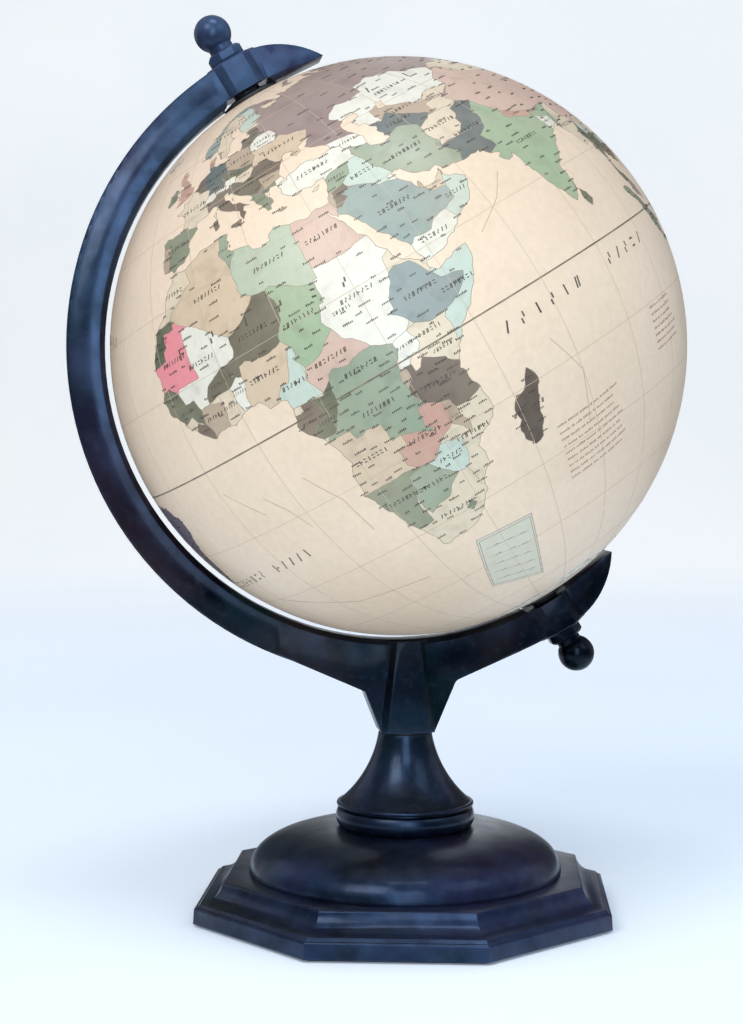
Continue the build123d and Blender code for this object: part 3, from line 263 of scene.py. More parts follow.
# Countries are painted over the lands in this order, and stop at the coast by themselves,
# so each needs an exact border only where a later one doesn't cover it.
COUNTRIES = """
sand -6,36.2 -17,27.7 -8.7,27.7 -8.7,28.8 -5.5,30 -3,31.8 -1.2,32.3 -1.7,33.5 -2.2,35.2 -2,37
olive -18,20.8 -13,21.3 -13,23 -12,23.5 -12,26 -8.7,26 -8.7,27.7 -18,27.7
pink -18,20.8 -13,21.3 -13,23 -12,23.5 -12,26 -8.7,26 -8.7,27.3 -4.8,25 -6.5,25 -5.5,15.5
  -11.5,15.5 -12.3,14.9 -14.5,16.6 -17,16.2 -18,18
peach -8.7,27.3 -8.7,28.8 -5.5,30 -3,31.8 -1.2,32.3 -1.7,33.5 -2.2,35.2 -2,37.5 8.6,37.5 8.3,35
  7.6,34 9,32.1 9.5,30.2 9.9,26.5 9.5,26 10,24.5 12,23.5 5.8,19.4 4.2,19.1 3.2,19.8 1.2,21.1 -4.8,25
fern 8.6,37.5 8.3,35 7.6,34 9,32.1 9.5,30.2 10.3,31.7 11.5,32.5 11.6,33.3 12,38
sage 9.5,30.2 10.3,31.7 11.5,32.5 11.6,33.3 12,35 25.1,33 25,31.6 24.9,29.2 25,22 25,20 24,20
  24,19.5 16,23.4 15,23 14.2,22.6 12,23.5 10,24.5 9.5,26 9.9,26.5
blush 25,33 25,31.6 25,22 38,22 34.9,29.5 34.2,31.3 33,33
cream 25,22 25,20 24,20 24,15.7 23,15.7 22.5,14.2 21.9,12.8 22.9,11 23.7,8.7 25.2,7.8 27.4,5.1
  30.8,3.5 34,4.2 35.3,5.5 34,7.2 33,8 34.1,8.5 34.3,10.6 36,12.7 36.5,14.3 37,17.2 38.6,18 39.5,20
  37.5,22
slate 36.5,14.3 36,12.7 34.3,10.6 34.1,8.5 33,8 34,7.2 35.3,5.5 36,4.5 38.1,3.6 39.5,3.5 41.9,3.9
  45,5 48,8 44,9 42.9,10.5 42,12.5 40.8,14.3 39,14.6 37.9,14.9
mist 42.9,10.9 43.4,11.6 47,12 52.5,12.5 51,4 43,-1.5 41,-1.7 41,2.9 41.9,3.9 45,5 48,8 44,9
sand 34,4.2 35.9,4.6 38.1,3.6 39.5,3.5 41.9,3.9 41,2.9 41,-1.7 42,-2 40,-5 37.7,-3.5 37.6,-3 34,-1
  34,.2 34.9,1.2
cream 30.8,3.5 34,4.2 34.9,1.2 34,.2 34,-1 29.6,-1.3 29.8,.2 31,2.1
umber 30.5,-1.1 34,-1 37.6,-3 37.7,-3.5 39.3,-4.7 41.5,-6 41.5,-10.8 40.4,-10.5 37.5,-11.6
  34.9,-11.5 34.5,-9.8 32.9,-9.4 31,-8.7 30.5,-8.3 29.4,-6 29.4,-4.5 30.8,-3.4 30.5,-2.4
fern 12.2,-6 13,-4.7 14.4,-4.9 16.2,-2.5 17.6,0 18.1,3.5 18.6,4.4 19.5,5 22.5,4.2 25,5 27.4,5.1
  30.8,3.5 31,2.1 29.8,.2 29.6,-1.3 29,-2.6 29.3,-4.4 29.4,-6 30.5,-8.2 28.7,-8.5 28.4,-11.6
  29.8,-13.4 28,-12.4 26.9,-11.9 24,-10.9 22.2,-11.1 21.9,-7.5 19.4,-7.1 17,-7.6 16.6,-5.9 13.2,-5.9
tan 29,-2.6 29.3,-1.4 30.5,-1.1 30.8,-2.3 30.7,-3.5 29.3,-4.4
olive 11,-3.9 11.8,-5 12.9,-4.9 14.4,-4.9 16.2,-2.5 17.6,0 18.1,3.5 16.2,3.4 16,1.8 13.3,2.2
  14,1.3 14.4,-1.3 12.5,-2.2 11.6,-2.4
umber 8,-1 9.5,1 11.3,1 11.3,2.2 13.3,2.2 14,1.3 14.4,-1.3 12.5,-2.2 11.6,-2.4 11,-3.9 9,-3
mist 8.5,4.6 8.9,5.9 10.2,7 11.3,6.6 12.8,9.3 13.6,11 14.2,12.5 14.6,13 15,11.5 15,10 14.2,10
  15.5,7.5 14.5,5.6 16.2,2.2 13.3,2.2 11.3,2.2 9,2.4 8.5,4
blush 14.5,5.6 15.5,7.5 18.6,8 21,9.8 22.9,11 23.7,8.7 25.2,7.8 27.4,5.1 25,5 22.5,4.2 19.5,5
  18.6,4.4 18.1,3.5 16.2,2.2
leaf 15,23 16,23.4 24,19.5 24,15.7 23,15.7 22.5,14.2 21.9,12.8 22.9,11 21,9.8 18.6,8 15.5,7.5
  14.2,10 15,10 15,11.5 14.1,12.8 13.5,13.6 13.6,14.6 15.5,16.9 15.9,20.4 15.2,21.5
ash 12,23.5 15,23 15.2,21.5 15.9,20.4 15.5,16.9 13.6,14.6 13.5,13.6 12.5,13.2 9,12.9 7,13.1
  5.5,13.9 4,13.5 3.6,11.7 2.4,11.9 2,12.7 1,13.3 .2,15 3.5,15.4 4.2,16.5 4.2,19.1 5.8,19.4
peach 2.7,6 2.7,7.9 3.6,9.9 3.6,11.7 4,13.5 5.5,13.9 7,13.1 9,12.9 12.5,13.2 13.6,13.7 14.6,12.2
  13.6,11 12.8,9.3 11.3,6.6 10.2,7 8.9,5.9 8.5,4.6 7,3.8 4,5.5
cream .2,11 1,12.4 2.4,12.2 3.6,11.7 3.6,9.9 2.7,7.9 2.7,6 1.2,5.9 .6,7.5
sand -3.2,5 -2.6,7.5 -2.8,11 .2,11 .6,7.5 1.2,6 0,5
tan -7.5,4 -8.5,7.5 -8.2,10.3 -5.5,10.4 -2.8,9.6 -2.6,7.5 -3.2,5 -5,4.5
ash -5.5,10.5 -2.8,11 .2,11 2.4,12.2 1,13.3 .2,15 -2,14.2 -4.3,13.2 -5.3,11.8
cream -12.3,14.9 -11.5,15.5 -5.5,15.5 -6.5,25 -4.8,25 1.2,21.1 3.2,19.8 4.2,19.1 4.2,16.5 3.5,15.4
  .2,15 -2,14.2 -4.3,13.2 -5.3,11.8 -5.5,10.4 -8,10.2 -9,12.4 -11.4,12.4
olive -18,14 -17,16.2 -14.5,16.6 -12.3,14.9 -11.4,12.4 -13.7,12.6 -17,12.4
olive -17,12.4 -13.7,12.6 -11.4,12.4 -9,12.4 -8,10.2 -8.5,7.6 -10,8.4 -11,9.9 -13,9.1 -14.5,9.5
  -17,11
sand -13.5,9.1 -11,9.9 -10.3,8.4 -11.5,6.8 -14,8
umber -11.5,6.8 -10.3,8.4 -8.5,7.6 -7.4,5.8 -7.5,4 -10,5
peach 11.5,-6 13.2,-5.9 16.6,-5.9 17,-7.6 19.4,-7.1 21.9,-7.5 22.2,-11.1 24,-10.9 24,-13 22,-13
  22,-16.2 23.4,-17.6 18.5,-17.4 14,-17.4 11,-17.2
rose 22,-13 24,-13 24,-10.9 26.9,-11.9 28,-12.4 29.8,-13.4 28.4,-11.6 28.7,-8.5 30.8,-8.3
  32.9,-9.4 33.3,-12 32.7,-13.7 30.2,-15 28.9,-16 27,-17.9 25.3,-17.8 23.4,-17.6 22,-16.2
tan 32.9,-9.4 34.5,-9.8 34.9,-11.5 35,-13.5 35.8,-14.7 35.3,-17.1 34.3,-15 32.7,-13.7 33.3,-12
sand 34.9,-11.5 37.5,-11.6 40.4,-10.5 42,-10.7 41.5,-16 36,-20 36.5,-24 33,-27 32.1,-26.8
  31.9,-25.5 31.3,-22.4 32.8,-20 32.9,-16.7 30.4,-16 30.2,-15 32.7,-13.7 34.3,-15 35.3,-17.1
  35.8,-14.7 35,-13.5
mist 25.3,-17.8 27,-17.9 28.9,-16 30.4,-16 32.9,-16.7 32.8,-20 31.3,-22.4 29.4,-22.2 27.5,-20.5
fern 20,-24.8 20,-22 21,-22 21,-18.3 23.4,-18 25.3,-17.8 27.5,-20.5 29.4,-22.2 27,-23.7 25.5,-25.6
  22.6,-26 20.7,-26.9
moss 11,-17.2 14,-17.4 18.5,-17.4 23.4,-17.6 25.3,-17.8 23.4,-18 21,-18.3 21,-22 20,-22 20,-28.4
  17.5,-28.8 16.4,-28.6 14,-28 12,-20
sand 16.4,-28.6 17.5,-28.8 20,-28.4 20,-24.8 20.7,-26.9 22.6,-26 25.5,-25.6 27,-23.7 29.4,-22.2
  31.3,-22.4 31.9,-25.5 32.1,-26.8 33.2,-26.8 33,-31 26,-35.5 18,-36 15,-29
moss 27,-29.6 28.5,-28.6 29.4,-29.5 28,-30.6
haze 34.9,29.5 37,31.5 39,32 42,31.1 44.7,29.2 46.5,29.1 48.4,28.5 50.5,26.5 50.8,24.7 51.5,24.4
  52.6,22.9 55.2,22.7 55,20 52,19 49.1,18.6 47.5,17.1 44,17.4 43.2,16.6 42.7,16.4 40,18 34,27
cream 42.5,16.4 43.2,16.6 44,17.4 47.5,17.1 49.1,18.6 52,19 53.1,16.6 52,14 45,12 42.8,12.4 42,15
mist 53.1,16.6 52,19 55,20 55.2,22.7 56,24.8 56.5,24.9 57,26.6 60.5,22.5 58,18 54,16
peach 51.5,24.4 52.6,22.9 55.2,22.7 56,24.8 56.4,25.5 55.8,26.3 54,25
tan 50.6,24.6 51.5,24.4 51.8,26.4 50.9,26.2
cream 46.5,29.1 48.4,28.5 48.8,29.8 47.9,30.1 47,29.9
mist 38.8,33.4 41.2,34.5 42.4,37.1 44.8,37.2 45.5,35.9 46,33.5 48,31 48.5,30 47,29.9 46.5,29.1
  44.7,29.2 42,31.1 39.2,32.2
umber 34.9,29.5 35.5,31.5 35.7,32.7 38.8,33.4 39.2,32.2 37,31.5 38,30.5 36,29.2
tan 34.2,31.3 34.9,29.5 35.5,31.5 35.6,33.2 34.6,33.2
fern 35,33.2 35.7,32.7 38.8,33.4 41.2,34.5 42.4,37.1 40.5,37 38,36.8 36.7,36.5 35.5,36
cream 25.5,39.5 26,41.8 28,42 30,41.6 35,42.5 41.5,41.6 43.5,41.1 43.7,40 44.8,39.7 44.3,37.9
  44.8,37.2 42.4,37.1 40.5,37 38,36.8 36.2,35.9 34,35.8 30,35.8 27,36.3
fern 44.8,39.7 46.5,38.9 48,39.6 48.9,38.3 50,37.5 52,36.9 54,37.2 57,38.2 59.3,37.5 61.2,36.5
  61,34.5 60.6,33 61.8,31 60.9,29.8 63.2,27.2 61.6,25 56,26.3 51,27 48.6,30 48,31 46,33.5 45.5,35.9
  44.8,37.2 44.3,37.9
sand 61.2,35.6 64.5,37.2 67.8,37.2 71.5,37.9 74.9,37.3 71.3,36.1 71,34.5 69.5,33.5 69.3,31.9
  66.5,29.9 61,29.8 61.8,31 60.6,33 61,34.5
pine 61.6,25 63.2,27.2 60.9,29.8 66.5,29.9 69.3,31.9 69.5,33.5 71,34.5 71.3,36.1 74.9,37.1
  77.8,35.5 74.5,33 75,32.2 74.5,31 72.9,29 70,27.8 71,25.7 71,24.5 68.2,23.7 66,24
pine 52.5,41.5 55,41.3 56,42 58.6,42.7 60,41.4 62,40 66.5,37.8 64.5,36.5 61.2,35.5 61.2,36.5
  59.3,37.5 57,38.2 54,37.2 53,38
tan 56,41.3 56,45 58.6,45.6 62,43.5 66,42.2 66.5,41.2 68.5,40.9 71,42.1 73,40.5 69,40.1 67.8,39.5
  68.2,38.3 67.8,37.2 66.5,37.5 62,40 60,41.4 58.6,42.7
sand 68.5,40.9 71,42.1 71,42.8 74,43 80.2,42.1 76,40.4 74,39.7 75,37.5 71.5,36.8 68,37.1 67.8,39.5
  69,40.1 73,40.5
cream 46.6,48.5 49,46.2 50,46 50,43 52.5,42 55,41.3 56,41.3 56,45 58.6,45.6 62,43.5 66,42.2
  66.5,41.2 68.5,40.9 71,42.5 74,43 80.2,42.2 80.5,45 82.5,45.3 85.5,47.1 87.3,49.1 83,51 80,50.8
  77,53.5 73.5,54 71,54.2 69,55.3 61.5,54 61,51.5 55,50.8 51.5,51.6 48,50
leaf 68.2,23.7 71,24.5 71,25.7 70,27.8 72.9,29 74.5,31 75,32.2 74.5,33 77.8,35.5 79.3,32.6 81,30.3
  80.1,28.8 84,27.3 88,26.4 88.2,27.9 89,27.2 92,26.9 95.5,29.2 97.3,28.2 95,26.5 94,24 93,22
  92.3,24 89.8,25.3 88.2,24.5 89,22 90,20 82,14 80,12 78,7 74,12 71,20
rose 80.1,28.8 81,30.3 84,29 88.1,27.9 88,26.4 84,27.3
cream 88.2,24.5 88.5,26.3 89.8,25.3 92.3,25 92.3,23 92.6,21 90,21 88.9,21.5
sand 92.3,21 93,22 94,24 95,26.5 97.3,28.4 98.7,27.5 98,25 97.7,24 101,21.5 99.5,20.2 97.5,18.5
  98.5,16 98.5,13 99.5,11.5 98.7,9.8 96,10 93,16
blush 73.8,39.5 80.2,42.1 80.5,45 85.5,47.1 87.8,49.1 91,47 90.7,45.2 96,42.8 105,41.6 110,42.6
  112,45 119.8,46.7 116,48 119,50 121,53.3 126,52.8 127.5,50 131,47.8 135,48.3 131,45 131,42.9
  127,41.6 124.5,40 122,38 124,30 118,22 110,20.5 108,21.6 105.5,23.2 102,22.4 101,21.5 97.7,24
  98.7,27.5 97.3,28.4 92,27.8 88.1,27.9 84,29 81,30.3 79.3,32.6 77.8,35.5 74.9,37.3
olive 97.5,18.5 99.5,20.2 100.5,19.5 101,17.8 104.5,17.5 105.5,14.5 102.5,13.7 102.7,11.8 101,11
  101.5,6.3 99,6 97,8 98.8,10 99.5,11.5 98.5,13 98.5,16
peach 102,22.4 105.5,23.2 108,21.6 109,20 110,15 110,11 104,8 104.5,10.5 107.5,12.5 107.5,15
  104.5,19 103.5,20.5
mist 100.5,19.5 101.5,21.3 102.2,22.3 103.5,20.5 104.5,19 107.5,15 105.5,14.5 104.5,17.5 101,17.8
umber 102.5,13.7 105.5,14.4 107.5,14.3 107.5,12.5 104.5,10 102.7,11
sand 87.8,49.1 92,50.8 98,50 98.5,52 102,51.5 108,49.5 116.7,49.9 116,48 119.8,46.7 112,45
  110,42.6 105,41.6 96,42.8 90.7,45.2 91,47
moss 124.5,40 127,41.6 130.5,42.4 130.8,40 130,34.5 126,34
haze 4,58 11,59 12,61 12,64 16,68 20,69 25,69 29,69.2 32,70 25,72 10,66 4,62
sand 11,59 12,61 12,64 16,68 20,69 24,67.5 24.2,65.8 20,63.5 18,60 19,58 14,55 12.3,56
mist 20.6,69 25,69 28,70 30,67.7 30,64 31.5,62.8 28,60.5 22,59.5 20,62 24.2,65.8 24,67.5
moss -10,44 -1.8,43.5 3.3,42.4 4,41 0,37 -5.5,35.9 -7.4,37 -7,39 -6.5,41.5 -8.9,42
tan -10,41.9 -6.5,41.9 -7,39 -7.4,37 -10,36.8
sand -5,49 2.5,51.2 4.5,49.9 8.2,49 7.5,47.5 6.8,46 7.5,43.6 6,42.5 3.3,42.4 -1.8,43.4 -3,46
umber 2.5,51.2 4,53 7,53.6 6.5,51.5 6.2,49.6 4.5,49.9
pine 7,53.6 8.5,55 12,55 14.3,54 14.8,51 12.3,50.2 13.5,48.7 13,47.6 7.6,47.6 8.2,49 6.2,49.6
  6.5,51.5
rose 7.5,54.9 12.8,54.6 12.8,58 8,58
tan 14.3,54 19,55 23,54.3 24,50.7 22.7,49.2 18.8,49.5 15,51
olive 12.3,50.2 15,51 18.8,49.5 22.5,49.1 22,48.4 17,47.9 14.5,48.6
cream 6,46.2 7.6,47.6 13,47.6 13.5,48.7 17,48.5 16.5,46.9 13.5,46.5 10.5,46.6 8.8,45.9
sand 16.2,46.9 17,47.9 22,48.4 22.5,47.8 21,46.2 18.5,45.8
umber 7,44 7,46 8.8,45.9 10.5,46.6 13.7,46.5 13.8,45.6 19,41 18.8,39.5 15,37.5 12,41
ash 13.5,45.5 13.7,46.5 16.3,46.9 18.5,45.8 21,46.2 22.6,44.5 23,42.5 21,41 19.4,41.9 17,42.5
moss 19,41.9 21,41.5 21,41 23,41.3 26.3,41.7 26,40 27,37 24,34 20,37 19,40
tan 22.6,44.3 28.8,43.8 28.2,42 26.3,41.8 23,41.3 23,42.5
umber 21,46.2 22.5,47.8 26.8,48.2 28.2,46 29.8,45.4 28.7,43.7 22.6,44.3
peach 24,50.7 23,52 24.5,51.8 31,51.5 33,52.3 35,51 40,49.6 38.3,47.3 36.5,45 33.5,44 30,45.2
  28.2,46 26.8,48.2 22.5,48 22.7,49.2
cream 23.5,51.9 23.5,54 26.5,55.7 31,55.5 32.5,53.3 31,51.5
ash 21,54.5 19.5,54.5 23,54.3 26.5,55.7 28.2,56.5 27.5,59.5 23,59.8 20,57
cream 40,43.4 45,42.7 48.5,41.8 50.5,40.3 49,38.4 46.5,38.9 44.8,39.7 43.7,40 43.5,41.1 41.5,41.5
sand -125,48.4 -123,49 -95,49 -89,48 -83,46 -82.5,43 -79,43 -75,45 -71,45 -69,47.4 -67,45 -66,44
  -74,38 -80,31 -79.5,25 -83,24 -90,28.5 -97,25.9 -99.5,27.5 -103,29 -106.5,31.8 -111,31.3
  -117.1,32.5 -122,33 -126,40
sand -141,70.5 -141,60.3 -135,59.5 -130,55.5 -132,53 -170,52 -170,72
umber -117.1,32.5 -111,31.3 -106.5,31.8 -103,29 -99.5,27.5 -97,25.9 -96,22 -86,22 -87.5,18
  -89,17.8 -91,17.3 -92.2,14.5 -96,14 -107,18 -115,27
peach -68,-22.5 -66,-22 -62.5,-22.2 -57.7,-25.3 -58.5,-27.3 -56,-27.3 -53.7,-26 -54,-25.6
  -53.6,-27 -57.6,-30.2 -58.2,-33.5 -56.5,-35.5 -60,-45 -62,-56 -68.6,-56 -68.6,-52.3 -72,-49
  -71.5,-40 -69.8,-33
moss -71,-17.5 -69,-18 -68,-22.5 -69.8,-33 -71.5,-40 -72,-49 -68.6,-52.3 -68.6,-56 -78,-55 -76,-40
  -72,-25
olive -57.6,-30.2 -53.4,-33.7 -53,-35.5 -58,-35 -58.2,-33.5
tan -62.5,-22.2 -60,-19.4 -58,-20 -57.9,-22.1 -54.5,-24 -54.6,-25.6 -56,-27.3 -58.5,-27.3
  -57.7,-25.3
sand -69,-18 -69.3,-12 -65.4,-10 -65,-12 -60.2,-15 -58.2,-16.3 -58,-20 -60,-19.4 -62.5,-22.2
  -66,-22 -68,-22.5
fern -81.5,-4 -80.3,-3.4 -78.5,-4.5 -75.3,-.1 -73.5,-1.5 -70,-2.6 -70,-4.2 -73.9,-7.3 -72.5,-9.5
  -70.5,-11 -69,-11 -69.3,-15 -69,-18 -71,-18.6 -77,-16 -83,-6
tan -81.5,-4 -82,0 -79,1.7 -75.3,-.1 -78.5,-4.5 -80.3,-3.4
mist -79,1.7 -79,7 -77.3,8.7 -72,13 -71.4,12 -72.5,9 -72,7.2 -67.5,6 -67,1.2 -70,.5 -70,-4.2
  -73.5,-1.5 -75.3,-.1
rose -71.4,12.2 -60,11 -60,8 -61,5 -64,4 -65.5,.8 -67,1.2 -67.5,6 -72,7.2 -72.5,9
olive -60,8.8 -61,5 -59.8,1.5 -56,2 -54,2.3 -51.6,4.2 -54,7 -58,8
sand 141,-2 153,-6 152,-11 141,-9.6
"""


# ---- reading the outlines ---------------------------------------------------------------
def read_outlines(text):
    """[(tint, [(longitude, latitude), ...]), ...] from the rows above."""
    found = []
    for word in text.split():
        if word[0].isalpha():
            found.append((word, []))
        else:
            longitude, latitude = word.split(",")
            found[-1][1].append((float(longitude), float(latitude)))
    return found


def wander(a, b, amount):
    """Points from a up to b, the same from either end, strayed from the straight line."""
    low, high = min(a, b), max(a, b)
    shrink = math.cos(math.radians((low[1] + high[1]) / 2))
    across, up = (high[0] - low[0]) * shrink, high[1] - low[1]
    if math.hypot(across, up) < SMOOTHEST:
        return [a]
    stray = random.Random(f"{low} {high}").uniform(-amount, amount)
    middle = (
        (low[0] + high[0]) / 2 - up * stray / max(shrink, 0.2),
        (low[1] + high[1]) / 2 + across * stray,
    )
    return wander(a, middle, amount) + wander(middle, b, amount)


def wandered(points, amount):
    """A closed outline with natural-looking detail between its corners."""
    out = []
    for a, b in zip(points, points[1:] + points[:1]):
        out += wander(a, b, amount)
    return out


def linked(name, data):
    """A new object in the scene's collection."""
    made = bpy.data.objects.new(name, data)
    bpy.context.collection.objects.link(made)
    return made


# ---- places on the ball -----------------------------------------------------------------
def globe_frame():
    """Centre, radius and axes of the ball: west (to the arm's middle), front and north."""
    spin = next(j for j in frame["joints"] if j["name"] == "globe_spin")
    centre = Vector(spin["pos_m"])
    north = Vector(spin["axis"]).normalized()
    if north.z < 0:
        north.negate()
    level = Vector((north.x, north.y, 0)).normalized()
    front = Vector((0, 0, 1)).cross(level)
    west = front.cross(north)
    outside = frame["nodes"]["north_map"].data.vertices
    radius = max((v.co - centre).length for v in outside)
    return centre, radius, west, front, north


CENTRE, RADIUS, WEST, FRONT, NORTH = globe_frame()


def outward(longitude, latitude):
    """Unit vector from the ball's centre to a place on the map."""
    turn = math.radians(longitude - WEST_OF_ARM)
    rise = math.radians(latitude)
    level = WEST * math.cos(turn) + FRONT * math.sin(turn)
    return level * math.cos(rise) + NORTH * math.sin(rise)


# ---- each half of the map, laid flat round its pole -------------------------------------
def flat(place, side):
    """A place in the flat map round the north (side 1) or south (side -1) pole."""
    reach = 90 - side * place[1]
    turn = math.radians(place[0])
    return (reach * math.cos(turn), reach * math.sin(turn))


def unflat(point, side):
    reach = math.hypot(*point)
    return math.degrees(math.atan2(point[1], point[0])), side * (90 - reach)


def rings():
    """Rings of points from the pole hole to the equator, as lists of flat points."""
    out = []
    count = round((90 - POLE_HOLE) / GRID_STEP)
    for step in range(count + 1):
        reach = POLE_HOLE + (90 - POLE_HOLE) * step / count
        around = max(12, round(360 * math.sin(math.radians(reach)) / GRID_STEP))
        half = math.pi / around * (step % 2)
        turns = [2 * math.pi * k / around + half for k in range(around)]
        out.append([(reach * math.cos(t), reach * math.sin(t)) for t in turns])
    return out


def closed_edges(first, count):
    return [(first + k, first + (k + 1) % count) for k in range(count)]


def inside(points, outline):
    """Which of the points (n, 2) lie inside a closed outline."""
    result = np.zeros(len(points), bool)
    corners = np.array(outline)
    low, high = corners.min(0), corners.max(0)
    near = np.nonzero(((points >= low) & (points <= high)).all(1))[0]
    x, y = points[near].T
    hit = np.zeros(len(near), bool)
    for (ax, ay), (bx, by) in zip(corners, np.roll(corners, -1, 0)):
        spans = (ay > y) != (by > y)
        if spans.any():
            hit ^= spans & (x < (bx - ax) * (y - ay) / (by - ay + 1e-12) + ax)
    result[near] = hit
    return result


def flat_outlines(outlines, side):
    """Outlines that reach this half, in its flat map."""
    out = []
    for tint, places in outlines:
        points = [flat(p, side) for p in places]
        if min(math.hypot(*p) for p in points) < 90:
            out.append((tint, points))
    return out


def triangulate(layers):
    """Triangles of the flat half that follow the rings and every outline in the layers."""
    points, edges = [], []
    sheet = rings()
    for number, ring in enumerate(sheet):
        if number in (0, len(sheet) - 1):
            edges += closed_edges(len(points), len(ring))
        points += ring
    for _, outline in layers:
        first = len(points)
        points += outline
        reach = [math.hypot(*p) for p in outline]
        for a, b in closed_edges(0, len(outline)):
            if min(reach[a], reach[b]) < 90:
                edges.append((first + a, first + b))
    flat_points = [Vector(p) for p in points]
    made = geometry.delaunay_2d_cdt(flat_points, edges, [], 0, 1e-5)
    corners = np.array([tuple(v) for v in made[0]])
    faces = np.array([f for f in made[2]])
    reach = np.hypot(*corners[faces].mean(1).T)
    return corners, faces[(reach < 90) & (reach > POLE_HOLE)]


def paint(corners, faces, lands, lakes, countries):
    """A number for each triangle: 0 is sea, and the rest are the outlines it lies in."""
    middles = corners[faces].mean(1)
    label = np.zeros(len(faces), int)
    number = 0
    for _, outline in lands:
        number += 1
        label[inside(middles, outline)] = number
    for _, outline in countries:
        number += 1
        label[inside(middles, outline) & (label > 0)] = number
    for _, outline in lakes:
        label[inside(middles, outline)] = 0
    return label


class MapHalf:
    """One half of the printed sheet, worked out flat and carried to the ball."""

    def __init__(self, side, lands, lakes, countries):
        self.side = side
        lands = flat_outlines(lands, side)
        lakes = flat_outlines(lakes, side)
        countries = flat_outlines(countries, side)
        self.tints = ["sea"] + [tint for tint, _ in lands + countries]
        self.corners, self.faces = triangulate(lands + lakes + countries)
        self.label = paint(self.corners, self.faces, lands, lakes, countries)
        places = [unflat(p, side) for p in self.corners]
        self.outward = np.array([outward(*place)[:] for place in places])
        self.turn_faces_out()

    def turn_faces_out(self):
        a, b, c = (self.outward[self.faces[:, k]] for k in range(3))
        facing = np.einsum("ij,ij->i", np.cross(b - a, c - a), a + b + c)
        turned = facing < 0
        self.faces[turned] = self.faces[turned][:, ::-1]

    def borders(self):
        """Edges between unlike triangles, as (start, end, True for a coast)."""
        owner = {}
        out = []
        for face, label in zip(self.faces, self.label):
            for a, b in zip(face, np.roll(face, -1)):
                key = (min(a, b), max(a, b))
                other = owner.pop(key, None)
                if other is None:
                    owner[key] = label
                elif other != label:
                    coast = other == 0 or label == 0
                    out.append((self.outward[a], self.outward[b], coast))
        return out

    def build(self, name):
        """The sheet as a closed shell, with its tint in a colour attribute."""
        count = len(self.corners)
        top = self.outward * RADIUS + np.array(CENTRE)
        under = self.outward * (RADIUS - PAPER) + np.array(CENTRE)
        rim = self.rim()
        sides = [(b, a, a + count) for a, b in rim] + [(b, a + count, b + count) for a, b in rim]
        faces = np.vstack([self.faces, self.faces[:, ::-1] + count, np.array(sides)])
        mesh = bpy.data.meshes.new(name)
        mesh.from_pydata(np.vstack([top, under]).tolist(), [], faces.tolist())
        self.colour(mesh, len(faces))
        mesh.shade_smooth()
        mark_rim_sharp(mesh, rim, count)
        return linked(name, mesh)

    def rim(self):
        """Directed edges with a triangle on one side only."""
        seen = {}
        for face in self.faces.tolist():
            for a, b in zip(face, face[1:] + face[:1]):
                if (b, a) in seen:
                    del seen[(b, a)]
                else:
                    seen[(a, b)] = True
        return list(seen)

    def colour(self, mesh, face_count):
        """Each triangle's tint; the red, green and blue are linear and alpha marks land."""
        tints = np.array([(*linear(TINTS[t]), float(t != "sea")) for t in self.tints])
        label = np.zeros(face_count, int)
        label[: len(self.label)] = self.label
        layer = mesh.color_attributes.new("tint", "FLOAT_COLOR", "CORNER")
        layer.data.foreach_set("color", np.repeat(tints[label], 3, 0).astype(np.float32).ravel())


def mark_rim_sharp(mesh, rim, count):
    sharp = {frozenset(edge) for edge in rim}
    sharp |= {frozenset((a + count, b + count)) for a, b in rim}
    flags = [frozenset(edge.vertices) in sharp for edge in mesh.edges]
    layer = mesh.attributes.new("sharp_edge", "BOOLEAN", "EDGE")
    layer.data.foreach_set("value", flags)


# ---- ink --------------------------------------------------------------------------------
class Ink:
    """Thin closed bars on the ball's surface, gathered into one mesh."""

    def __init__(self):
        self.points = []
        self.faces = []

    def quad(self, corners):
        """A closed slab over four unit vectors, in order round it."""
        first = len(self.points)
        for level in (RADIUS - INK_SINK, RADIUS + INK_RISE):
            self.points += [CENTRE + c.normalized() * level for c in corners]
        outer = [(0, 1, 2, 3), (7, 6, 5, 4)]
        outer += [(k, k + 4, (k + 1) % 4 + 4, (k + 1) % 4) for k in range(4)]
        self.faces += [tuple(first + k for k in face) for face in outer]

    def bar(self, a, b, width):
        """A bar between two unit vectors."""
        a, b = Vector(a), Vector(b)
        along = (b - a).normalized()
        side = a.cross(along).normalized() * (width / 2 / RADIUS)
        spare = along * (width / 4 / RADIUS)
        self.quad([a - spare + side, a - spare - side, b + spare - side, b + spare + side])

    def line(self, places, width):
        """A line through (longitude, latitude) places, in steps that follow the ball."""
        for (lon_a, lat_a), (lon_b, lat_b) in zip(places, places[1:]):
            reach = math.hypot((lon_b - lon_a) * math.cos(math.radians(lat_a)), lat_b - lat_a)
            steps = max(1, math.ceil(reach / INK_STEP))
            for k in range(steps):
                s, t = k / steps, (k + 1) / steps
                start = (lon_a + (lon_b - lon_a) * s, lat_a + (lat_b - lat_a) * s)
                end = (lon_a + (lon_b - lon_a) * t, lat_a + (lat_b - lat_a) * t)
                self.bar(outward(*start), outward(*end), width)

    def build(self, name):
        mesh = bpy.data.meshes.new(name)
        mesh.from_pydata([tuple(p) for p in self.points], [], self.faces)
        tidy = bmesh.new()
        tidy.from_mesh(mesh)
        bmesh.ops.recalc_face_normals(tidy, faces=tidy.faces)
        tidy.to_mesh(mesh)
        tidy.free()
        return linked(name, mesh)


